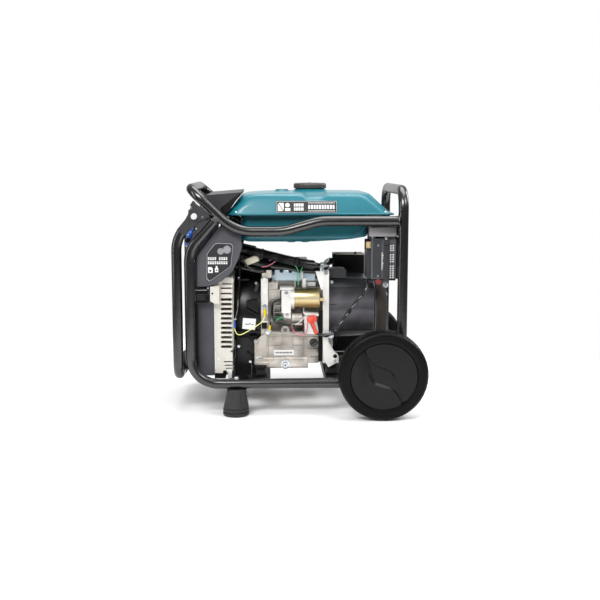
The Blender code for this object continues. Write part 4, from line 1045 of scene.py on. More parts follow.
def build_plug(side, sign):
    """The dark connector block low on the housing's flank, with pale strips of painted highlight along its
    top and left edges.
    """
    y = -sign * 0.1888
    out = Vector((0, -sign, 0))

    def slab(bm, x0, z0, x1, z1, thick):
        block(bm, (x0, min(y, y + out.y * thick), z0), (x1, max(y, y + out.y * thick), z1))
    bm = bmesh.new()
    slab(bm, -0.2953, 0.3221, -0.2568, 0.3626, 0.0022)
    slab(bm, -0.262, 0.326, -0.254, 0.348, 0.003)
    for pz in (0.333, 0.339, 0.345):
        slab(bm, -0.289, pz, -0.264, pz + 0.0026, 0.0032)
    piece(f"plug_face_{side}", bm, "duct", bevel=0.0008)
    bm = bmesh.new()
    # Painted highlight: thin pale strips along the block's top and left edges stand in for light caught
    # there; the stud is a screw.
    slab(bm, -0.2948, 0.359, -0.26, 0.3606, 0.003)
    slab(bm, -0.2948, 0.33, -0.2936, 0.358, 0.0028)
    stud(bm, (-0.258, y + out.y * 0.001, 0.3655), out, 0.003, 0.0024, 0.0016, 0.0018, 16)
    piece(f"plug_trim_{side}", bm, "silver_line")


def build_front_face():
    """Outlets, switches and vents on the end panel."""
    keep("outlet_lid_near", "blue", 0.0012)
    keep("outlet_lid_far", "soft_black", 0.0012)
    bm = turned(bmesh.new(), [(0, 0), (0.007, 0), (0.008, 0.0012), (0.008, 0.0068), (0.007, 0.008),
                              (0, 0.0082)],
                (-0.3149, -0.145, 0.4981), -Y, 28)
    piece("lid_hinge_cap", bm, "soft_black", "outlet_lid_near")
    keep("key_switch", "black", 0.0008)
    keep("fuel_selector", "black", 0.001)
    lean = Vector((-math.cos(TILT), 0, math.sin(TILT)))
    up = Vector((math.sin(TILT), 0, math.cos(TILT)))
    base = Vector((PANEL_X, 0, 0.425))
    slope = (base, -Y, up)
    flat = (Vector((PANEL_X, 0, 0.0)), -Y, Z)

    def ring(bm, u, v, radius, height, wall):
        at = base - Y * u + up * v
        turned(bm, [(radius - wall, 0.0004), (radius, 0.0004), (radius, height),
                    (radius - 0.0012, height + 0.001), (radius - wall, height + 0.001)], at, lean, 40,
               closed=True)
    bm = bmesh.new()
    for u in (0.125, 0.045):
        ring(bm, u, 0.0714, 0.0285, 0.018, 0.0035)
    ring(bm, -0.12, 0.0465, 0.0175, 0.003, 0.004)
    ring(bm, -0.055, 0.0465, 0.024, 0.0016, 0.002)
    piece("panel_rings", bm, "soft_black")
    bm = bmesh.new()
    for u0, v0, u1, v1 in ((-0.158, 0.078, -0.1, 0.11), (-0.085, 0.078, -0.005, 0.11),
                           (0.08, 0.01, 0.09, 0.034), (0.02, 0.01, 0.07, 0.036), (0.1, 0.01, 0.15, 0.036)):
        sticker(bm, slope, rect(u0, v0, u1, v1), 0.0, 0.0008)
    for u0, v0, u1, v1 in ((-0.15, 0.33, 0.15, 0.405), (-0.15, 0.15, 0.15, 0.16)):
        sticker(bm, flat, rect(u0, v0, u1, v1), 0.0, 0.0008)
    piece("panel_plates", bm, "decal")
    bm = bmesh.new()
    sticker(bm, slope, rect(-0.152, 0.083, -0.106, 0.105), 0.0007, 0.0022)
    for u in (0.026, 0.106):
        sticker(bm, slope, rect(u, 0.014, u + 0.038, 0.032), 0.0007, 0.005)
    piece("panel_windows", bm, "glass_dark", bevel=0.0006)
    bm = bmesh.new()
    for i in range(3):
        sticker(bm, slope, ball(-0.02 - 0.022 * i, 0.094, 0.0035, 18), 0.0007, 0.0024)
    for i in range(9):
        a = math.radians(-120 + 30 * i)
        u, v = -0.055 + 0.0275 * math.sin(a), 0.0465 + 0.0275 * math.cos(a)
        sticker(bm, slope, ball(u, v, 0.001 if i % 4 else 0.0017, 10), 0.0, 0.0007)
    for row in range(4):
        for i in range(11):
            u = -0.14 + 0.026 * i
            sticker(bm, flat, rect(u, 0.34 + 0.015 * row, u + 0.019, 0.345 + 0.015 * row), 0.0007, 0.001)
    piece("panel_marks", bm, "silver_line")
    bm = bmesh.new()
    for i in range(8):
        v = 0.185 + 0.015 * i
        sticker(bm, flat, oblong(-0.12, 0.12, v, v + 0.0075, 0.0035, 40), 0.0, 0.0022)
    piece("panel_louvres", bm, "housing", bevel=0.0008)
    bm = bmesh.new()
    for i in range(8):
        v = 0.1865 + 0.015 * i
        sticker(bm, flat, oblong(-0.116, 0.116, v, v + 0.003, 0.0014, 32), 0.0021, 0.0024)
    piece("panel_louvre_gaps", bm, "mesh_black")
    bm = bmesh.new()
    for u, v in ((-0.16, 0.15), (0.16, 0.15), (-0.16, 0.4), (0.16, 0.4), (-0.16, 0.3), (0.16, 0.3)):
        bolt(bm, (PANEL_X, -u, v), -X, 0.0036, 0.0024, kind="round")
    turned(bm, [(0, 0), (0.006, 0), (0.006, 0.004), (0.003, 0.004), (0.003, 0.012), (0, 0.012)],
           (PANEL_X, 0.135, 0.175), -X, 24)
    hoop(bm, (PANEL_X, 0.135, 0.175), -X, 0.0032, 0.008, 0.005, 0.0068, 24)
    piece("panel_screws", bm, "zinc")


# ---------------------------------------------------------------- engine
def build_engine():
    """The engine's castings, mounts and covers."""
    keep("crankcase", "casting", 0.0009)
    keep("cylinder_head", "casting", 0.002)
    keep("alternator_bracket", "bright", 0.001)
    keep("cylinder_shroud", "galvanised", 0.0006)
    keep("blower_housing", "blower", 0.002)
    keep("air_filter_box", "blower", 0.0025, 3)
    keep("carburettor", "casting", 0.0015)
    keep("muffler_guard", "blower", 0.0008)
    for side in ("near", "far"):
        for end in ("front", "rear"):
            keep(f"mount_{end}_{side}", "soft_black", 0.001)
    build_case_detail()
    build_starter()
    build_blower_detail()
    build_wires()


def build_case_detail():
    """Ribs, covers, labels and bolts on the crankcase's near face."""
    y = CASE_Y
    bm = bmesh.new()
    block(bm, (-0.104, y - 0.005, 0.146), (0.026, y + 0.002, 0.152))
    prism(bm, [(-0.125, 0.124), (0.0262, 0.124), (0.0262, 0.1462), (-0.123, 0.1462)], y - 0.0022, y + 0.002)
    piece("case_flange", bm, "casting_light", bevel=0.0012)
    bm = bmesh.new()
    for x0, x1, z0, z1 in ((-0.09, -0.045, 0.19, 0.192), (-0.014, 0.018, 0.19, 0.192),
                           (-0.088, 0.01, 0.217, 0.2188), (-0.0895, -0.0875, 0.156, 0.218),
                           (-0.018, -0.016, 0.176, 0.225), (0.014, 0.016, 0.156, 0.225),
                           (-0.048, -0.046, 0.192, 0.218)):
        block(bm, (x0, y - 0.0034, z0), (x1, y + 0.001, z1))
    block(bm, (-0.1265, y - 0.0012, 0.138), (-0.0955, y + 0.001, 0.143))
    prism(bm, [(-0.0965, 0.138), (-0.0925, 0.138), (-0.0925, 0.218), (-0.0845, 0.228), (-0.0885, 0.23),
               (-0.0965, 0.219)],
          y - 0.0026, y + 0.001)
    stud(bm, (-0.124, y + 0.002, 0.2), -Y, 0.0065, 0.006, 0.006, 0.006, 24)
    turned(bm, [(0, 0), (0.0185, 0), (0.017, 0.0035), (0.014, 0.0035), (0.0, 0.003)],
           (0.045, y + 0.0012, 0.196), -Y, 36)
    stud(bm, (-0.038, y + 0.0005, 0.233), -Y, 0.0135, 0.0125, 0.003, 0.003, 28)
    stud(bm, (-0.038, y + 0.001, 0.131), -Y, 0.0135, 0.0125, 0.003, 0.003, 28)
    prism(bm, [(-0.02, 0.218), (0.058, 0.215), (0.062, 0.223), (-0.004, 0.228)], y - 0.004, y + 0.001)
    prism(bm, [(0.03, 0.156), (0.06, 0.156), (0.062, 0.162), (0.05, 0.178), (0.03, 0.178)], y - 0.003,
          y + 0.001)
    for px in (0.028, 0.0345, 0.041, 0.0475):
        prism(bm, [(px, 0.1565), (px + 0.0022, 0.1565), (px + 0.0042, 0.179), (px + 0.002, 0.179)],
              y - 0.0048, y + 0.001)
    piece("case_ribs", bm, "casting", bevel=0.0007)
    bm = bmesh.new()
    # Painted shade: a black strip in the gap along the crankcase's right edge and a black block under the
    # flange face stand in for shade.
    prism(bm, [(0.0587, 0.14), (0.0712, 0.14), (0.0712, 0.293), (0.06, 0.293), (0.0587, 0.2)], -0.1336, -0.13)
    block(bm, (-0.1068, -0.1316, 0.2375), (-0.0917, -0.129, 0.2545))
    piece("case_gasket", bm, "mesh_black", bevel=0.0006)
    bm = bmesh.new()
    prism(bm, [(0.0706, 0.2174), (0.0873, 0.2142), (0.0874, 0.1864), (0.115, 0.1614), (0.1151, 0.1397),
               (0.0877, 0.1243), (0.0723, 0.1524)], -0.1458, -0.1438)
    piece("bracket_foot", bm, "bright", bevel=0.0012)
    bm = bmesh.new()
    stud(bm, (0.1073, -0.1457, 0.1576), -Y, 0.006, 0.0056, 0.0006, 0.0006, 28)
    piece("bracket_hole", bm, "mesh_black")
    bm = bmesh.new()
    block(bm, (-0.071, y - 0.0012, 0.1585), (-0.013, y + 0.0005, 0.174))
    prism(bm, [(-0.1608, 0.2705), (-0.1233, 0.2676), (-0.1262, 0.2348), (-0.1637, 0.2389)], -0.1366, -0.134)
    piece("white_labels", bm, "white", bevel=0.0003)
    bm = bmesh.new()
    for i in range(12):
        block(bm, (-0.0665 + 0.0042 * i, y - 0.0016, 0.164), (-0.064 + 0.0042 * i, y - 0.001, 0.169))
    for i, (a, b, c) in enumerate(((0, 4, 9), (5, 3, 12), (12, 6, 7), (18, 2, 10))):
        block(bm, (-0.156 + 0.001 * a, -0.137, 0.248 + 0.001 * b),
              (-0.154 + 0.001 * a + 0.0006 * c, -0.1364, 0.25 + 0.001 * b))
    piece("label_marks", bm, "decal")
    build_upper_engine()
    bm = bmesh.new()
    bolt(bm, (-0.038, y - 0.002, 0.131), -Y, 0.0085, 0.0065)
    bolt(bm, (-0.122, y - 0.0001, 0.1475), Vector((-0.2, -1, 0.3)), 0.0034, 0.003)
    bolt(bm, (-0.113, y - 0.0001, 0.1545), -Y, 0.003, 0.005)
    bolt(bm, (-0.0865, y - 0.001, 0.233), -Y, 0.0048, 0.0045)
    for px, pz in ((0.096, 0.218), (0.106, 0.1445)):
        bolt(bm, (px, -0.144, pz), -Y, 0.0046, 0.0045)
    piece("case_bolts", bm, "zinc")
    bm = bmesh.new()
    bolt(bm, (-0.038, y - 0.0025, 0.233), -Y, 0.004, 0.004)
    stud(bm, (-0.038, y - 0.0093, 0.131), -Y, 0.0034, 0.003, 0.0005, 0.0005, 6)
    piece("case_bolts_dark", bm, "dark_steel")
    bm = bmesh.new()
    turned(bm, [(0, 0), (0.012, 0), (0.012, 0.002), (0.0128, 0.003), (0.0128, 0.0095), (0.0115, 0.012),
                (0.0, 0.0122)],
           (0.045, -0.1306, 0.196), -Y, 64, shape=lambda a, r, h: (r - 0.0008 * max(0, math.sin(14 * a)), h))
    grip = [(-0.0088, 0), (0.0088, 0), (0.008, 0.0078), (-0.008, 0.0078)]
    tilt = math.radians(35)
    rows = [[(0.045 + u * math.cos(tilt) - t * math.sin(tilt), -0.1425 - v,
              0.196 + u * math.sin(tilt) + t * math.cos(tilt))
             for u, v in grip] for t in (-0.0026, 0.0026)]
    skin(bm, rows)
    piece("oil_cap_body", bm, "duct", "oil_cap", ["oil_filler_cap"], angle=30)


def build_upper_engine():
    """The castings and plugs between the crankcase and the tank."""
    bm = bmesh.new()
    block(bm, (-0.108, -0.129, 0.256), (-0.0875, -0.118, 0.384))
    block(bm, (-0.1075, -0.13, 0.342), (-0.088, -0.12, 0.356))
    stud(bm, (-0.098, -0.129, 0.38), -Y, 0.0075, 0.0065, 0.004, 0.004, 24)
    piece("flange_face", bm, "bright", bevel=0.0012)
    bm = bmesh.new()
    block(bm, (-0.093, -0.12, 0.386), (-0.077, -0.112, 0.408))
    block(bm, (-0.1055, -0.118, 0.385), (-0.085, -0.108, 0.4))
    for x0, x1, z0, z1 in ((-0.087, -0.059, 0.352, 0.372), (-0.086, -0.054, 0.326, 0.35),
                           (-0.084, -0.054, 0.29, 0.312), (-0.07, -0.018, 0.264, 0.286)):
        block(bm, (x0, -0.124, z0), (x1, -0.1, z1))
    piece("case_lumps", bm, "casting", bevel=0.0015)
    bm = bmesh.new()
    for i in range(5):
        z0 = 0.353 + 0.0044 * i
        block(bm, (-0.078, -0.108, z0), (-0.013, -0.085, z0 + 0.0016))
    for px in (-0.076, -0.064, -0.012):
        block(bm, (px, -0.11, 0.35), (px + 0.006, -0.088, 0.3745))
    piece("barrel_fins", bm, "casting_dark", bevel=0.0004)
    bm = bmesh.new()
    rod(bm, (0.018, -0.106, 0.35), (0.018, -0.106, 0.382), 0.0072, 24, 0.001)
    rod(bm, (0.012, -0.1, 0.38), (0.012, -0.1, 0.402), 0.004, 20, 0.001)
    block(bm, (0.027, -0.1, 0.358), (0.052, -0.094, 0.37))
    piece("sensor_post", bm, "bright", bevel=0.0006)
    bm = bmesh.new()
    block(bm, (-0.0687, -0.144, 0.2641), (-0.0444, -0.124, 0.2766))
    piece("green_plug", bm, "plug_green", bevel=0.0016)
    bm = bmesh.new()
    for low, high in (((-0.0716, 0.2674), (-0.069, 0.3074)), ((-0.0484, 0.2674), (-0.0458, 0.3074)),
                      ((-0.0716, 0.3048), (-0.0458, 0.3074)), ((-0.0716, 0.286), (-0.0458, 0.2878))):
        block(bm, (low[0], -0.14, low[1]), (high[0], -0.118, high[1]))
    piece("loom_frame", bm, "casting_dark", bevel=0.0006)
    bm = sweep(bmesh.new(), fillet([(-0.0504, -0.13, 0.3203, 0), (-0.0822, -0.13, 0.3204, 0.008),
                                    (-0.0831, -0.13, 0.2652, 0)],
                                   10), 0.0045, 20)
    piece("breather_tube", bm, "grey_tube")


def build_starter():
    """The electric starter with its solenoid and bracket."""
    can = [
        (0.0, -0.012), (0.0308, -0.012), (0.0312, -0.011), (0.0312, 0.0562), (0.032, 0.057), (0.032, 0.0602),
        (0.0308, 0.0618), (0.027, 0.0624), (0.0, 0.0624),
    ]
    bm = turned(bmesh.new(), can, STARTER, X, 72)
    # The can's gold carries painted reflection bands.
    piece("starter_can", bm, "gold_painted_reflections", replaces=["starter_motor"], angle=28)
    bm = bmesh.new()
    block(bm, (0.06, -0.1465, 0.3205), (0.0745, -0.133, 0.329))
    piece("starter_stub", bm, "brass", bevel=0.0012)
    bm = bmesh.new()
    nose = [(-0.1475, 0.2861), (-0.0995, 0.288), (-0.09, 0.305), (-0.09, 0.34), (-0.0995, 0.356),
            (-0.14, 0.356), (-0.1475, 0.35)]
    skin(bm, [[(x, *p) for p in nose] for x in (-0.049, -0.0221)])
    block(bm, (-0.0535, -0.1475, 0.354), (-0.0159, -0.1, 0.3596))
    turned(bm, [(0, 0), (0.0318, 0), (0.0324, 0.001), (0.0324, 0.01), (0.0318, 0.0109), (0.0, 0.0109)],
           (-0.0223, *STARTER[1:]), X, 56)
    prism(bm, [(-0.0432, 0.289), (-0.0221, 0.289), (-0.0221, 0.2708), (-0.035, 0.2708), (-0.0432, 0.276)],
          -0.144, -0.11)
    for pz in (0.313, 0.336):
        block(bm, (-0.05, -0.1486, pz), (-0.0215, -0.145, pz + 0.0024))
    piece("starter_nose", bm, "bright", bevel=0.0014)
    bm = bmesh.new()
    for px, pz in ((-0.035, 0.3455), (-0.033, 0.279)):
        bolt(bm, (px, -0.1474 if pz > 0.3 else -0.144, pz), -Y, 0.0036, 0.0034)
    rod(bm, (0.016, -0.13, 0.2835), (0.016, -0.13, 0.3), 0.0022, 12)
    piece("starter_bolts", bm, "zinc")
    coil = [(0.0, -0.019), (0.0128, -0.019), (0.014, -0.0178), (0.014, -0.012), (0.0132, -0.0112),
            (0.0132, 0.004), (0.014, 0.0048), (0.014, 0.01), (0.0132, 0.0112), (0.006, 0.0113),
            (0.0058, 0.0165), (0.0, 0.017)]
    bm = turned(bmesh.new(), coil, (0, -0.1334, 0.27), X, 48)
    block(bm, (-0.019, -0.145, 0.25), (0.0112, -0.123, 0.256))
    piece("solenoid_can", bm, "casting", replaces=["starter_solenoid"], angle=30)
    bm = bmesh.new()
    prism(bm, [(0.0125, 0.287), (0.059, 0.283), (0.059, 0.2765), (0.04, 0.2765), (0.018, 0.279)], -0.144,
          -0.115)
    prism(bm, [(0.015, 0.224), (0.056, 0.22), (0.059, 0.228), (0.056, 0.248), (0.05, 0.276), (0.018, 0.276)],
          -0.138, -0.124)
    piece("starter_bracket", bm, "bright", bevel=0.001)


def build_blower_detail():
    """Ribs, clip and grille of the cooling blower."""
    bm = bmesh.new()
    rows = []
    for u, half, z0, z1 in ((-0.151, 0.002, 0.3, 0.322), (-0.117, 0.01, 0.282, 0.328)):
        rows.append([(u, -0.133, z0), (u, -0.133 - half, z0 + 0.004), (u, -0.133 - half, z1 - 0.004),
                     (u, -0.133, z1)])
    skin(bm, rows)
    prism(bm, [(-0.153, 0.299), (-0.117, 0.28), (-0.117, 0.276), (-0.156, 0.296)], -0.139, -0.134)
    for z0 in (0.214, 0.208, 0.202):
        block(bm, (-0.142, -0.131, z0), (-0.119, -0.121, z0 + 0.0026))
    prism(bm, [(-0.184, 0.232), (-0.178, 0.226), (-0.116, 0.226), (-0.113, 0.232)], -0.134, -0.129)
    block(bm, (-0.179, -0.128, 0.379), (-0.143, -0.108, 0.3815))
    prism(bm, [(-0.15, 0.168), (-0.128, 0.15), (-0.128, 0.146), (-0.152, 0.16)], -0.124, -0.112)
    piece("blower_ribs", bm, "black", bevel=0.0008)
    bm = bmesh.new()
    prism(bm, [(-0.122, 0.369), (-0.132, 0.337), (-0.129, 0.336), (-0.118, 0.348), (-0.113, 0.366)], -0.112,
          -0.11)
    piece("blower_clip", bm, "plate", bevel=0.0005)
    bm = bmesh.new()
    for px, py, pz in ((-0.1747, -0.115, 0.1834), (-0.1411, -0.115, 0.1364), (-0.1225, -0.113, 0.37)):
        bolt(bm, (px, py, pz), -Y, 0.0026, 0.0026)
    sweep(bm, [(-0.1361, -0.13, 0.1302), (-0.1367, -0.13, 0.115), (-0.1377, -0.13, 0.0914)], 0.0008, 8)
    piece("blower_bolts", bm, "zinc")
    bm = bmesh.new()
    eye = Vector((-0.1842, 0, SHAFT_Z))
    for r in (0.012, 0.022, 0.032, 0.042, 0.052):
        hoop(bm, eye, X, r - 0.0014, r + 0.0014, 0, 0.0022, 48)
    for i in range(8):
        a = math.pi * i / 8
        d = Vector((0, math.cos(a), math.sin(a))) * 0.056
        rod(bm, eye + X * 0.0012 - d, eye + X * 0.0012 + d, 0.0011, 8)
    piece("blower_grille", bm, "mesh_black")


def ferrule(bm, start, end, radius):
    """The sleeve on a wire's end."""
    rod(bm, start, end, radius, 18, radius * 0.3)


def build_wires():
    """The conduit, the starter cable and the loose wires."""
    step, rib_pitch = 0.0008, 0.0049
    path = even(fillet([
        (-0.2432, -0.12, 0.478, 0), (-0.205, -0.12, 0.4775, 0.05), (-0.15, -0.12, 0.469, 0.12),
        (-0.037, -0.12, 0.44, 0.15), (0.03, -0.1165, 0.4245, 0.05), (0.046, -0.106, 0.4215, 0),
    ], 14), step)
    turns = len(path) * step / rib_pitch
    bm = sweep(bmesh.new(), path, lambda t: 0.0127 + 0.0011 * math.sin(2 * math.pi * turns * t), 24)
    piece("conduit", bm, "duct", replaces=["harness_conduit"], angle=60)
    bm = bmesh.new()
    for at in (0.14, 0.47, 0.82):
        here = path[int(at * len(path))]
        hoop(bm, here, path[int(at * len(path)) + 2] - here, 0.0128, 0.0142, -0.003, 0.003, 28)
    piece("conduit_ties", bm, "soft_black")
    bm = bmesh.new()
    tail = smooth_path([path[-2], (0.056, -0.108, 0.42), (0.07, -0.116, 0.4215), (0.082, -0.118, 0.429)])
    sweep(bm, tail, lambda t: 0.0098 - 0.005 * t, 18)
    sweep(bm, smooth_path([(-0.19, -0.09, 0.456), (-0.15, -0.086, 0.44), (-0.1, -0.08, 0.422),
                           (-0.04, -0.08, 0.414), (0.02, -0.084, 0.404), (0.085, -0.086, 0.401)]),
          lambda t: 0.025 - 0.015 * t, 24)
    sweep(bm, smooth_path([(-0.185, -0.1, 0.42), (-0.15, -0.1, 0.412), (-0.11, -0.096, 0.404),
                           (-0.07, -0.09, 0.4)]), 0.01, 20)
    piece("loom_tubes", bm, "duct")
    bm = bmesh.new()
    # Painted shade: a flat black sheet behind the loom stands in for the shade of the deep gap there.
    prism(bm, [(-0.1662, 0.4827), (-0.1223, 0.4726), (-0.1226, 0.4142), (-0.187, 0.3982), (-0.1909, 0.4083)],
          -0.06, -0.05)
    piece("loom_backing", bm, "mesh_black", bevel=0.001)
    bm = bmesh.new()
    prism(bm, [(0.062, 0.415), (0.084, 0.4195), (0.089, 0.4225), (0.081, 0.4255), (0.064, 0.4215)], -0.133,
          -0.13)
    hoop(bm, (0.07, -0.116, 0.4215), X, 0.0078, 0.0092, -0.005, 0.005, 28)
    prism(bm, [(0.074, 0.43), (0.084, 0.436), (0.092, 0.447), (0.09, 0.433), (0.082, 0.4275)], -0.115, -0.112)
    piece("conduit_clip", bm, "zinc", bevel=0.0004)
    step, twist = 0.0025, 0.066
    cable = even(fillet([
        (0.035, -0.154, 0.262, 0), (0.05, -0.155, 0.226, 0.014), (0.092, -0.156, 0.22, 0.025),
        (0.138, -0.16, 0.282, 0.12), (0.1985, -0.16, 0.362, 0.016), (0.1985, -0.16, 0.3896, 0),
    ], 10), step)
    bm = bmesh.new()
    for phase in (0.0, math.pi):
        strand = []
        for i, here in enumerate(cable):
            along = (cable[min(i + 1, len(cable) - 1)] - cable[max(i - 1, 0)]).normalized()
            normal = along.cross(Y).normalized()
            angle = phase + i * 2 * math.pi * step / twist
            swing = 0.0028 * ease(min(i - 12, len(cable) - 1 - i) / 16)
            strand.append(here + (normal * math.cos(angle) + along.cross(normal) * math.sin(angle)) * swing)
        sweep(bm, strand, 0.0036, 16)
    piece("starter_cable", bm, "cable", replaces=["battery_cable"])
    bm = bmesh.new()
    for share in (0.34, 0.6, 0.82):
        here = cable[int(share * len(cable))]
        hoop(bm, here, cable[int(share * len(cable)) + 1] - here, 0.0064, 0.0072, -0.003, 0.003, 24)
    piece("starter_cable_ties", bm, "soft_black")
    bm = bmesh.new()
    boot = [(0.0, -0.006), (0.0075, -0.006), (0.0115, -0.003), (0.0118, 0.004), (0.0085, 0.01),
            (0.0058, 0.014), (0.0052, 0.04), (0.0062, 0.046), (0.004, 0.047), (0, 0.047)]
    turned(bm, boot, (0.035, -0.152, 0.27), Vector((0.36, -0.06, -0.93)), 32)
    turned(bm, [(0, 0), (0.0105, 0), (0.0112, 0.004), (0.009, 0.01), (0, 0.011)], (0.043, -0.147, 0.269), -Y,
           32)
    piece("terminal_boot", bm, "boot", angle=60)
    strands = (
        ("wire_black", "cable", 0.0028, [(-0.048, -0.128, 0.323), (-0.06, -0.14, 0.324),
                                         (-0.073, -0.147, 0.316), (-0.0755, -0.15, 0.295),
                                         (-0.0745, -0.151, 0.276), (-0.066, -0.152, 0.26),
                                         (-0.048, -0.153, 0.253), (-0.026, -0.153, 0.2505),
                                         (-0.01, -0.153, 0.253)]),
        # Painted highlight: a white length carries on from the black wire's end to stand in for a glint on
        # it.
        ("wire_white", "white", 0.0011, [(-0.012, -0.154, 0.2515), (0.002, -0.155, 0.26),
                                         (0.016, -0.156, 0.273), (0.031, -0.15, 0.285)]),
        ("wire_yellow", "yellow", 0.0013, [(-0.185, -0.163, 0.25), (-0.183, -0.16, 0.237),
                                           (-0.176, -0.156, 0.226), (-0.164, -0.15, 0.225),
                                           (-0.14, -0.145, 0.237), (-0.12, -0.142, 0.249),
                                           (-0.106, -0.141, 0.26), (-0.0985, -0.138, 0.274),
                                           (-0.0975, -0.134, 0.286)]),
        ("wire_black_short", "cable", 0.0022, [(-0.0831, -0.131, 0.267), (-0.0812, -0.136, 0.258),
                                               (-0.0816, -0.138, 0.249)]),
        ("wire_pink", "pink", 0.0013, [(-0.019, -0.14, 0.246), (-0.014, -0.145, 0.234),
                                       (-0.004, -0.148, 0.224), (0.006, -0.149, 0.219),
                                       (0.018, -0.147, 0.223), (0.025, -0.143, 0.234),
                                       (0.026, -0.14, 0.256)]),
        ("wire_pink_top", "pink", 0.0012, [(-0.106, -0.118, 0.418), (-0.094, -0.121, 0.419),
                                           (-0.078, -0.122, 0.426), (-0.066, -0.122, 0.436),
                                           (-0.072, -0.121, 0.441), (-0.084, -0.119, 0.436)]),
        ("wire_dark", "red_dark", 0.0014, [(0.016, -0.142, 0.224), (0.0165, -0.144, 0.24),
                                           (0.016, -0.142, 0.256)]),
        ("wire_green", "green", 0.0013, [(-0.012, -0.124, 0.426), (-0.004, -0.126, 0.416),
                                         (0.0, -0.126, 0.402), (-0.003, -0.122, 0.384),
                                         (0.001, -0.12, 0.364)]),
        ("wire_green_2", "green", 0.0012, [(0.014, -0.12, 0.42), (0.008, -0.121, 0.405),
                                           (0.003, -0.121, 0.388), (0.001, -0.12, 0.366)]),
        ("wire_green_low", "green", 0.0015, [(-0.068, -0.15, 0.262), (-0.058, -0.15, 0.27),
                                             (-0.046, -0.148, 0.274)]),
        ("wire_dark_top", "cable", 0.0028, [(-0.17, -0.125, 0.456), (-0.15, -0.128, 0.424),
                                            (-0.13, -0.124, 0.41), (-0.106, -0.12, 0.406),
                                            (-0.09, -0.112, 0.402)]),
        ("wire_dark_left", "cable", 0.003, [(-0.176, -0.12, 0.468), (-0.172, -0.126, 0.43),
                                            (-0.17, -0.126, 0.39), (-0.174, -0.13, 0.33),
                                            (-0.178, -0.15, 0.29), (-0.185, -0.163, 0.27)]),
    )
    for name, mat, radius, points in strands:
        bm = sweep(bmesh.new(), smooth_path(points, 10), radius, 14)
        piece(name, bm, mat)
    bm = bmesh.new()
    ferrule(bm, (-0.0975, -0.134, 0.276), (-0.0975, -0.133, 0.296), 0.0048)
    ferrule(bm, (-0.0816, -0.138, 0.25), (-0.0852, -0.136, 0.232), 0.0036)
    piece("ferrule_yellow", bm, "yellow_deep")
    bm = bmesh.new()
    ferrule(bm, (-0.185, -0.163, 0.265), (-0.185, -0.163, 0.246), 0.003)
    piece("ferrule_blue", bm, "blue")
    bm = bmesh.new()
    block(bm, (-0.188, -0.167, 0.27), (-0.179, -0.16, 0.274))
    stud(bm, (-0.0975, -0.13, 0.301), -Y, 0.0085, 0.0085, 0.001, 0.0012, 28)
    stud(bm, (-0.089, -0.1326, 0.228), -Y, 0.007, 0.007, 0.001, 0.0012, 28)
    piece("wire_lugs", bm, "zinc")
    bm = bmesh.new()
    turn = Matrix.Translation((-0.136, -0.112, 0.4365)) @ Matrix.Rotation(math.radians(-22), 4, "Y")
    bmesh.ops.create_cube(bm, size=1.0, matrix=turn @ Matrix.Diagonal((0.044, 0.02, 0.019, 1)))
    piece("wire_connector", bm, "cream", bevel=0.0025, segments=3)
    bm = bmesh.new()
    for k in range(5):
        start = Vector((-0.158, -0.118, 0.43 + 0.003 * k))
        sweep(bm, smooth_path([start, start + Vector((-0.008, 0, 0.008)),
                               start + Vector((-0.01, 0.004, 0.026)),
                               Vector((-0.176 + 0.002 * k, -0.118, 0.472))]), 0.0016, 10)
    for k in range(3):
        start = Vector((-0.114, -0.116, 0.438 + 0.003 * k))
        sweep(bm, smooth_path([start, start + Vector((0.01, 0, 0.006)),
                               Vector((-0.094 + 0.003 * k, -0.12, 0.454))]), 0.0015, 10)
    piece("loom_strands", bm, "cable")


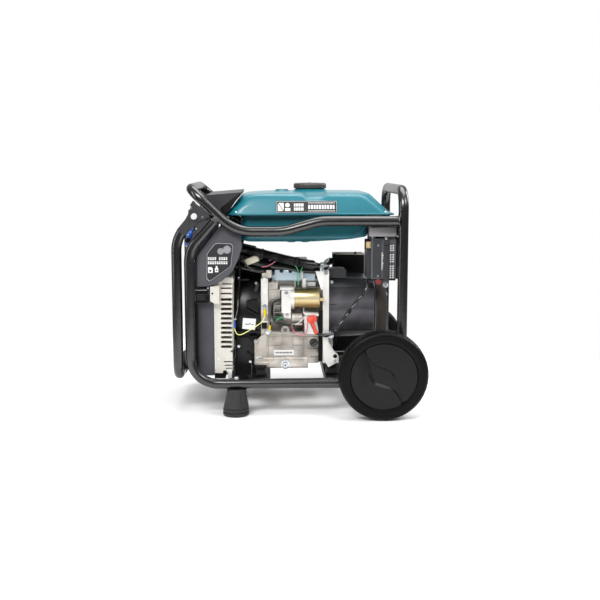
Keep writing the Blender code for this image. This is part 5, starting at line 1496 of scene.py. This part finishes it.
# ---------------------------------------------------------------- alternator, recoil starter, exhaust
def build_alternator():
    """The alternator's hollow cover with its seams, terminal box and bolts."""
    bm = bmesh.new()
    rings = []
    for px, half, low, top, r in ((0.09, 0.1, 0.2, 0.383, 0.036), (0.093, 0.1, 0.2, 0.3829, 0.036),
                                  (0.22, 0.096, 0.2055, 0.377, 0.034), (0.225, 0.095, 0.2065, 0.376, 0.034),
                                  (0.2265, 0.0935, 0.208, 0.3745, 0.033)):
        ring = []
        for py, pz in oblong(-half, half, low, top, r, 160):
            away = min(1.0, abs(pz - 0.3) / 0.095)
            ring.append((px, py * (1 - 0.055 * away * away), pz))
        rings.append(ring)
    for px, half, low, top, r in ((0.2265, 0.03, 0.24, 0.3, 0.0299), (0.2245, 0.03, 0.24, 0.3, 0.0299),
                                  (0.224, 0.0905, 0.2095, 0.373, 0.031), (0.09, 0.09, 0.2055, 0.3775, 0.034)):
        rings.append([(px, py, pz) for py, pz in oblong(-half, half, low, top, r, 160)])
    skin(bm, rings, closed=True)
    # The shroud material paints highlight bands on this cover.
    piece("alternator_cover", bm, "shroud", replaces=["alternator_shroud"], angle=30)
    bm = bmesh.new()
    for sign in (-1, 1):
        for z0, z1, inward in ((0.303, 0.3044, 0.0), (0.352, 0.3532, 0.0018), (0.226, 0.2272, 0.0034)):
            rows = []
            for px, half in ((0.0905, 0.1002 - inward), (0.225, 0.0952 - inward)):
                rows.append([(px, sign * (half - 0.001), z0), (px, sign * half, z0), (px, sign * half, z1),
                             (px, sign * (half - 0.001), z1)])
            skin(bm, rows)
    piece("cover_seams", bm, "mesh_black")
    bm = bmesh.new()
    prism(bm, [(0.0905, 0.38), (0.144, 0.378), (0.144, 0.402), (0.138, 0.408), (0.096, 0.408),
               (0.0905, 0.402)],
          -0.078, -0.03)
    piece("terminal_box", bm, "plate", bevel=0.002)
    bm = bmesh.new()
    for at in ((0.1, -0.093, 0.37), (0.097, -0.0955, 0.22)):
        bolt(bm, at, -Y, 0.0032, 0.0026, kind="round")
    bolt(bm, (0.17, 0.08, 0.4358), Z, 0.0045, 0.002, False, "round")
    bolt(bm, (0.0805, -0.13, 0.402), -Y, 0.0045, 0.004)
    bolt(bm, (0.07, -0.128, 0.409), -Y, 0.0036, 0.0036)
    piece("cover_bolts", bm, "zinc")
    build_recoil()
    build_exhaust()


def build_recoil():
    """The recoil starter: cover, reel, rope and grip."""
    shaft = (0, 0, SHAFT_Z)
    face = [
        (0.0, 0.2657), (0.015, 0.2657), (0.0162, 0.264), (0.03, 0.264), (0.0312, 0.2655), (0.078, 0.2655),
        (0.086, 0.2657), (0.09, 0.2645), (0.0918, 0.2615), (0.0922, 0.244), (0.0912, 0.2432),
        (0.0912, 0.2405), (0.0925, 0.2396), (0.0925, 0.2285), (0.0918, 0.227), (0.09, 0.2269), (0.089, 0.26),
        (0.085, 0.263), (0.0, 0.263),
    ]
    bm = turned(bmesh.new(), face, shaft, X, 96)
    rod(bm, (0.2345, 0, SHAFT_Z), (0.264, 0, SHAFT_Z), 0.006, 20)
    piece("recoil_shell", bm, "band", replaces=["recoil_cover"], angle=30)
    bm = bmesh.new()
    dots, rim = 116, 0.0926
    for k in range(dots):
        a = 2 * math.pi * k / dots
        at = Vector((0.2312, rim * math.cos(a), SHAFT_Z + rim * math.sin(a)))
        stud(bm, at, Vector((0, math.cos(a), math.sin(a))), 0.0014, 0.001, 0.001, 0.0011, 8)
    piece("recoil_dots", bm, "silver_line")
    bm = bmesh.new()
    for k in range(12):
        rows = []
        for t in range(7):
            r = 0.038 + 0.0062 * t
            a = 2 * math.pi * k / 12 + 0.1 * t
            c, s = math.cos(a), math.sin(a)
            base = Vector((0.2654, r * c, SHAFT_Z + r * s))
            across = Vector((0, -s, c)) * 0.0032
            rows.append([base - across, base + across, base + across + X * 0.0005,
                         base - across + X * 0.0005])
        skin(bm, rows)
    piece("recoil_vents", bm, "mesh_black")
    bm = bmesh.new()
    for k in range(4):
        a = math.pi / 4 + math.pi / 2 * k
        bolt(bm, (0.2656, 0.082 * math.cos(a), SHAFT_Z + 0.082 * math.sin(a)), X, 0.0034, 0.0026)
    piece("recoil_bolts", bm, "zinc")
    bm = turned(bmesh.new(), [(0.0064, 0.236), (0.06, 0.236), (0.06, 0.238), (0.049, 0.24), (0.049, 0.248),
                              (0.06, 0.25), (0.06, 0.252), (0.0064, 0.252)], shaft, X, 48, closed=True)
    piece("reel_disc", bm, "black", "recoil_reel", ["recoil_reel"], angle=30)
    rope_x, rope_z = 0.244, SHAFT_Z + REEL_R
    path = [(rope_x, 0.004 + 0.0955 * i / 40, rope_z) for i in range(41)]
    bm = sweep(bmesh.new(), path, lambda t: 0.0019 + 0.00015 * math.sin(t * 120), 12)
    rope = bpy.data.objects.new("starter_rope", bpy.data.meshes.new("starter_rope"))
    bmesh.ops.recalc_face_normals(bm, faces=bm.faces)
    bm.to_mesh(rope.data)
    bm.free()
    rope.data.materials.append(MAT["rope"])
    bpy.context.scene.collection.objects.link(rope)
    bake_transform(rope)
    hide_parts("recoil_rope")
    grip = [(0.0, -0.032), (0.0065, -0.032), (0.0085, -0.0305), (0.0098, -0.026), (0.0086, -0.01),
            (0.0083, 0.0), (0.0086, 0.01), (0.0098, 0.026), (0.0085, 0.0305), (0.0065, 0.032), (0.0, 0.032)]
    bm = turned(bmesh.new(), grip, (rope_x, 0.112, rope_z), X, 40)
    rod(bm, (rope_x, 0.0999, rope_z), (rope_x, 0.112, rope_z), 0.0055, 24, 0.001)
    for k in range(-3, 4):
        turned(bm, [(0.008, -0.0008), (0.0096, -0.0004), (0.0096, 0.0004), (0.008, 0.0008)],
               (rope_x + 0.0052 * k, 0.112, rope_z), X, 32, closed=True)
    piece("rope_grip", bm, "soft_black", "recoil_handle", ["recoil_grip"], angle=40)


def build_exhaust():
    """The muffler and its guard, the cylinder's fins and head, the air filter's louvres."""
    bm = bmesh.new()
    rings = []
    for px, grow in ((0.123, -0.003), (0.125, 0.0), (0.205, 0.0), (0.207, -0.003)):
        outline = oblong(0.086 - grow, 0.144 + grow, 0.389 - grow, 0.429 + grow, 0.014, 64)
        rings.append([(px, py, pz) for py, pz in outline])
    skin(bm, rings)
    pipe = fillet([(0.046, 0.15, 0.352, 0), (0.095, 0.15, 0.352, 0.016), (0.097, 0.125, 0.409, 0.016),
                   (0.128, 0.125, 0.409, 0)], 8)
    sweep(bm, pipe, 0.011, 28)
    piece("exhaust_drum", bm, "burnt", replaces=["muffler"], angle=35)
    bm = bmesh.new()
    for k in range(7):
        px = 0.126 + 0.012 * k
        prism(bm, rect(px, 0.396, px + 0.006, 0.424), 0.1519, 0.1524)
        block(bm, (px, 0.086, 0.4356), (px + 0.006, 0.144, 0.4361))
    piece("guard_slots", bm, "mesh_black")
    bm = bmesh.new()
    turn = Matrix.Translation((0, 0, SHAFT_Z)) @ Matrix.Rotation(math.radians(25), 4, "X")
    for k in range(10):
        place = turn @ Matrix.Translation((-0.0075, 0.072 + 0.0062 * k, 0))
        bmesh.ops.create_cube(bm, size=1.0, matrix=place @ Matrix.Diagonal((0.124, 0.0018, 0.116, 1)))
    piece("cylinder_fins", bm, "casting", bevel=0.0004)
    bm = bmesh.new()
    cover = turn @ Matrix.Translation((-0.0075, 0.1835, 0)) @ Matrix.Diagonal((0.078, 0.01, 0.082, 1))
    bmesh.ops.create_cube(bm, size=1.0, matrix=cover)
    piece("rocker_cover", bm, "bright", bevel=0.004, segments=4)
    bm = bmesh.new()
    for u in (-0.04, 0.025):
        for v in (-0.036, 0.036):
            at = turn @ Vector((u, 0.1828, v))
            bolt(bm, at, turn.to_3x3() @ Y, 0.0046, 0.0046)
    for px in (-0.06, 0.01):
        bolt(bm, (px, 0.1555, 0.41), Y, 0.0036, 0.0026, kind="round")
    piece("head_bolts", bm, "zinc")
    bm = bmesh.new()
    for k in range(6):
        block(bm, (-0.078 + 0.018 * k, 0.1555, 0.403), (-0.066 + 0.018 * k, 0.1568, 0.416))
    stud(bm, (-0.024, 0.092, 0.4203), Z, 0.016, 0.015, 0.004, 0.004, 40)
    piece("filter_louvres", bm, "black", bevel=0.0006)
    bm = bmesh.new()
    rows = [[(0.1143, y, 0.4375), (0.124, y, 0.4424), (0.2124, y, 0.44), (0.2124, y, 0.4333),
             (0.124, y, 0.435)]
            for y in (0.076, 0.0785)]
    skin(bm, rows)
    piece("guard_lip", bm, "lip", bevel=0.0006)
    bm = bmesh.new()
    stud(bm, (0.1846, 0.0762, 0.44), -Y, 0.004, 0.0036, 0.0024, 0.0028, 24)
    prism(bm, [(0.117, 0.38), (0.213, 0.374), (0.213, 0.385), (0.117, 0.385)], 0.0788, 0.083)
    piece("guard_seal", bm, "soft_black", bevel=0.0006)


# ---------------------------------------------------------------- battery
def build_battery():
    """The battery with its strap, terminal and printed marks."""
    keep("battery_bracket", "black", 0.0006)
    keep("battery_cover", "battery_top", 0.003, 3)
    bm = bmesh.new()
    block(bm, (0.2065, -0.172, 0.387), (0.279, -0.092, 0.504))
    piece("battery_case", bm, "battery", replaces=["battery"], bevel=0.0018)
    bm = bmesh.new()
    block(bm, (0.195, -0.166, 0.39), (0.2075, -0.098, 0.498))
    block(bm, (0.212, -0.1732, 0.392), (0.236, -0.1715, 0.5))
    piece("battery_side", bm, "battery_dark", bevel=0.0012)
    bm = bmesh.new()
    block(bm, (0.199, -0.169, 0.404), (0.206, -0.162, 0.418))
    block(bm, (0.199, -0.169, 0.388), (0.2062, -0.164, 0.396))
    block(bm, (0.242, -0.178, 0.372), (0.258, -0.1765, 0.512))
    block(bm, (0.242, -0.178, 0.509), (0.258, -0.104, 0.5108))
    block(bm, (0.2446, -0.1795, 0.396), (0.2566, -0.1775, 0.4064))
    piece("battery_strap", bm, "plate", bevel=0.0006)
    bm = bmesh.new()
    block(bm, (0.2431, -0.1784, 0.4836), (0.2581, -0.1776, 0.4852))
    block(bm, (0.188, -0.169, 0.4731), (0.2084, -0.1655, 0.5013))
    block(bm, (0.2784, -0.175, 0.388), (0.29, -0.1, 0.505))
    block(bm, (0.2784, -0.187, 0.512), (0.2905, -0.1, 0.54))
    piece("battery_recess", bm, "mesh_black", bevel=0.0004)
    bm = bmesh.new()
    block(bm, (0.1921, -0.1705, 0.4758), (0.2057, -0.166, 0.4946))
    stud(bm, (0.2, -0.1705, 0.4855), -Y, 0.0052, 0.0048, 0.003, 0.0032, 24)
    piece("battery_terminal", bm, "brass", bevel=0.001)
    bm = bmesh.new()
    turned(bm, [(0, 0), (0.008, 0), (0.008, 0.003), (0.0062, 0.0046), (0, 0.005)], (0.228, -0.174, 0.3795),
           -Y, 32)
    piece("battery_red_cap", bm, "red_dark")
    bm = bmesh.new()
    bolt(bm, (0.2485, -0.1785, 0.3715), -Y, 0.0055, 0.0046)
    bolt(bm, (0.2485, -0.1792, 0.504), -Y, 0.0036, 0.0022, False, "round")
    for px, pz in ((0.2267, 0.484), (0.2264, 0.3967)):
        stud(bm, (px, -0.1732, pz), -Y, 0.0036, 0.003, 0.0014, 0.0016, 18)
    sweep(bm, [(0.2735, -0.1755, 0.512), (0.279, -0.1755, 0.516)], 0.0012, 8)
    piece("battery_bolts", bm, "zinc")
    bm = bmesh.new()
    for i in range(9):
        wide = 0.0026 + 0.0009 * ((i * 5) % 4)
        block(bm, (0.2366, -0.1727, 0.4141 + 0.0057 * i), (0.2366 + wide, -0.1718, 0.4178 + 0.0057 * i))
    for i in range(15):
        if i not in (6, 11):
            for k in range(2):
                left = 0.2606 + 0.0066 * k + 0.0007 * ((i * 3 + k) % 3)
                block(bm, (left, -0.1727, 0.39 + 0.0065 * i),
                      (left + 0.0042, -0.1718, 0.3936 + 0.0065 * i + 0.0006 * k))
    piece("battery_marks", bm, "white")
    bm = bmesh.new()
    for px, py in ((0.215, -0.155), (0.265, -0.112)):
        stud(bm, (px, py, 0.504), Z, 0.006, 0.006, 0.004, 0.0042, 24)
    piece("battery_posts", bm, "zinc")


# ---------------------------------------------------------------- inside
def build_inside():
    """The crankshaft, flywheel, rotor and stator, mostly out of sight."""
    for node in ("crankshaft", "flywheel", "rotor", "stator"):
        keep(node, "steel")


MAT = build_materials()
build_stage()
build_frame()
build_wheels()
build_handle()
build_tank()
build_control_end()
build_engine()
build_alternator()
build_battery()
build_inside()
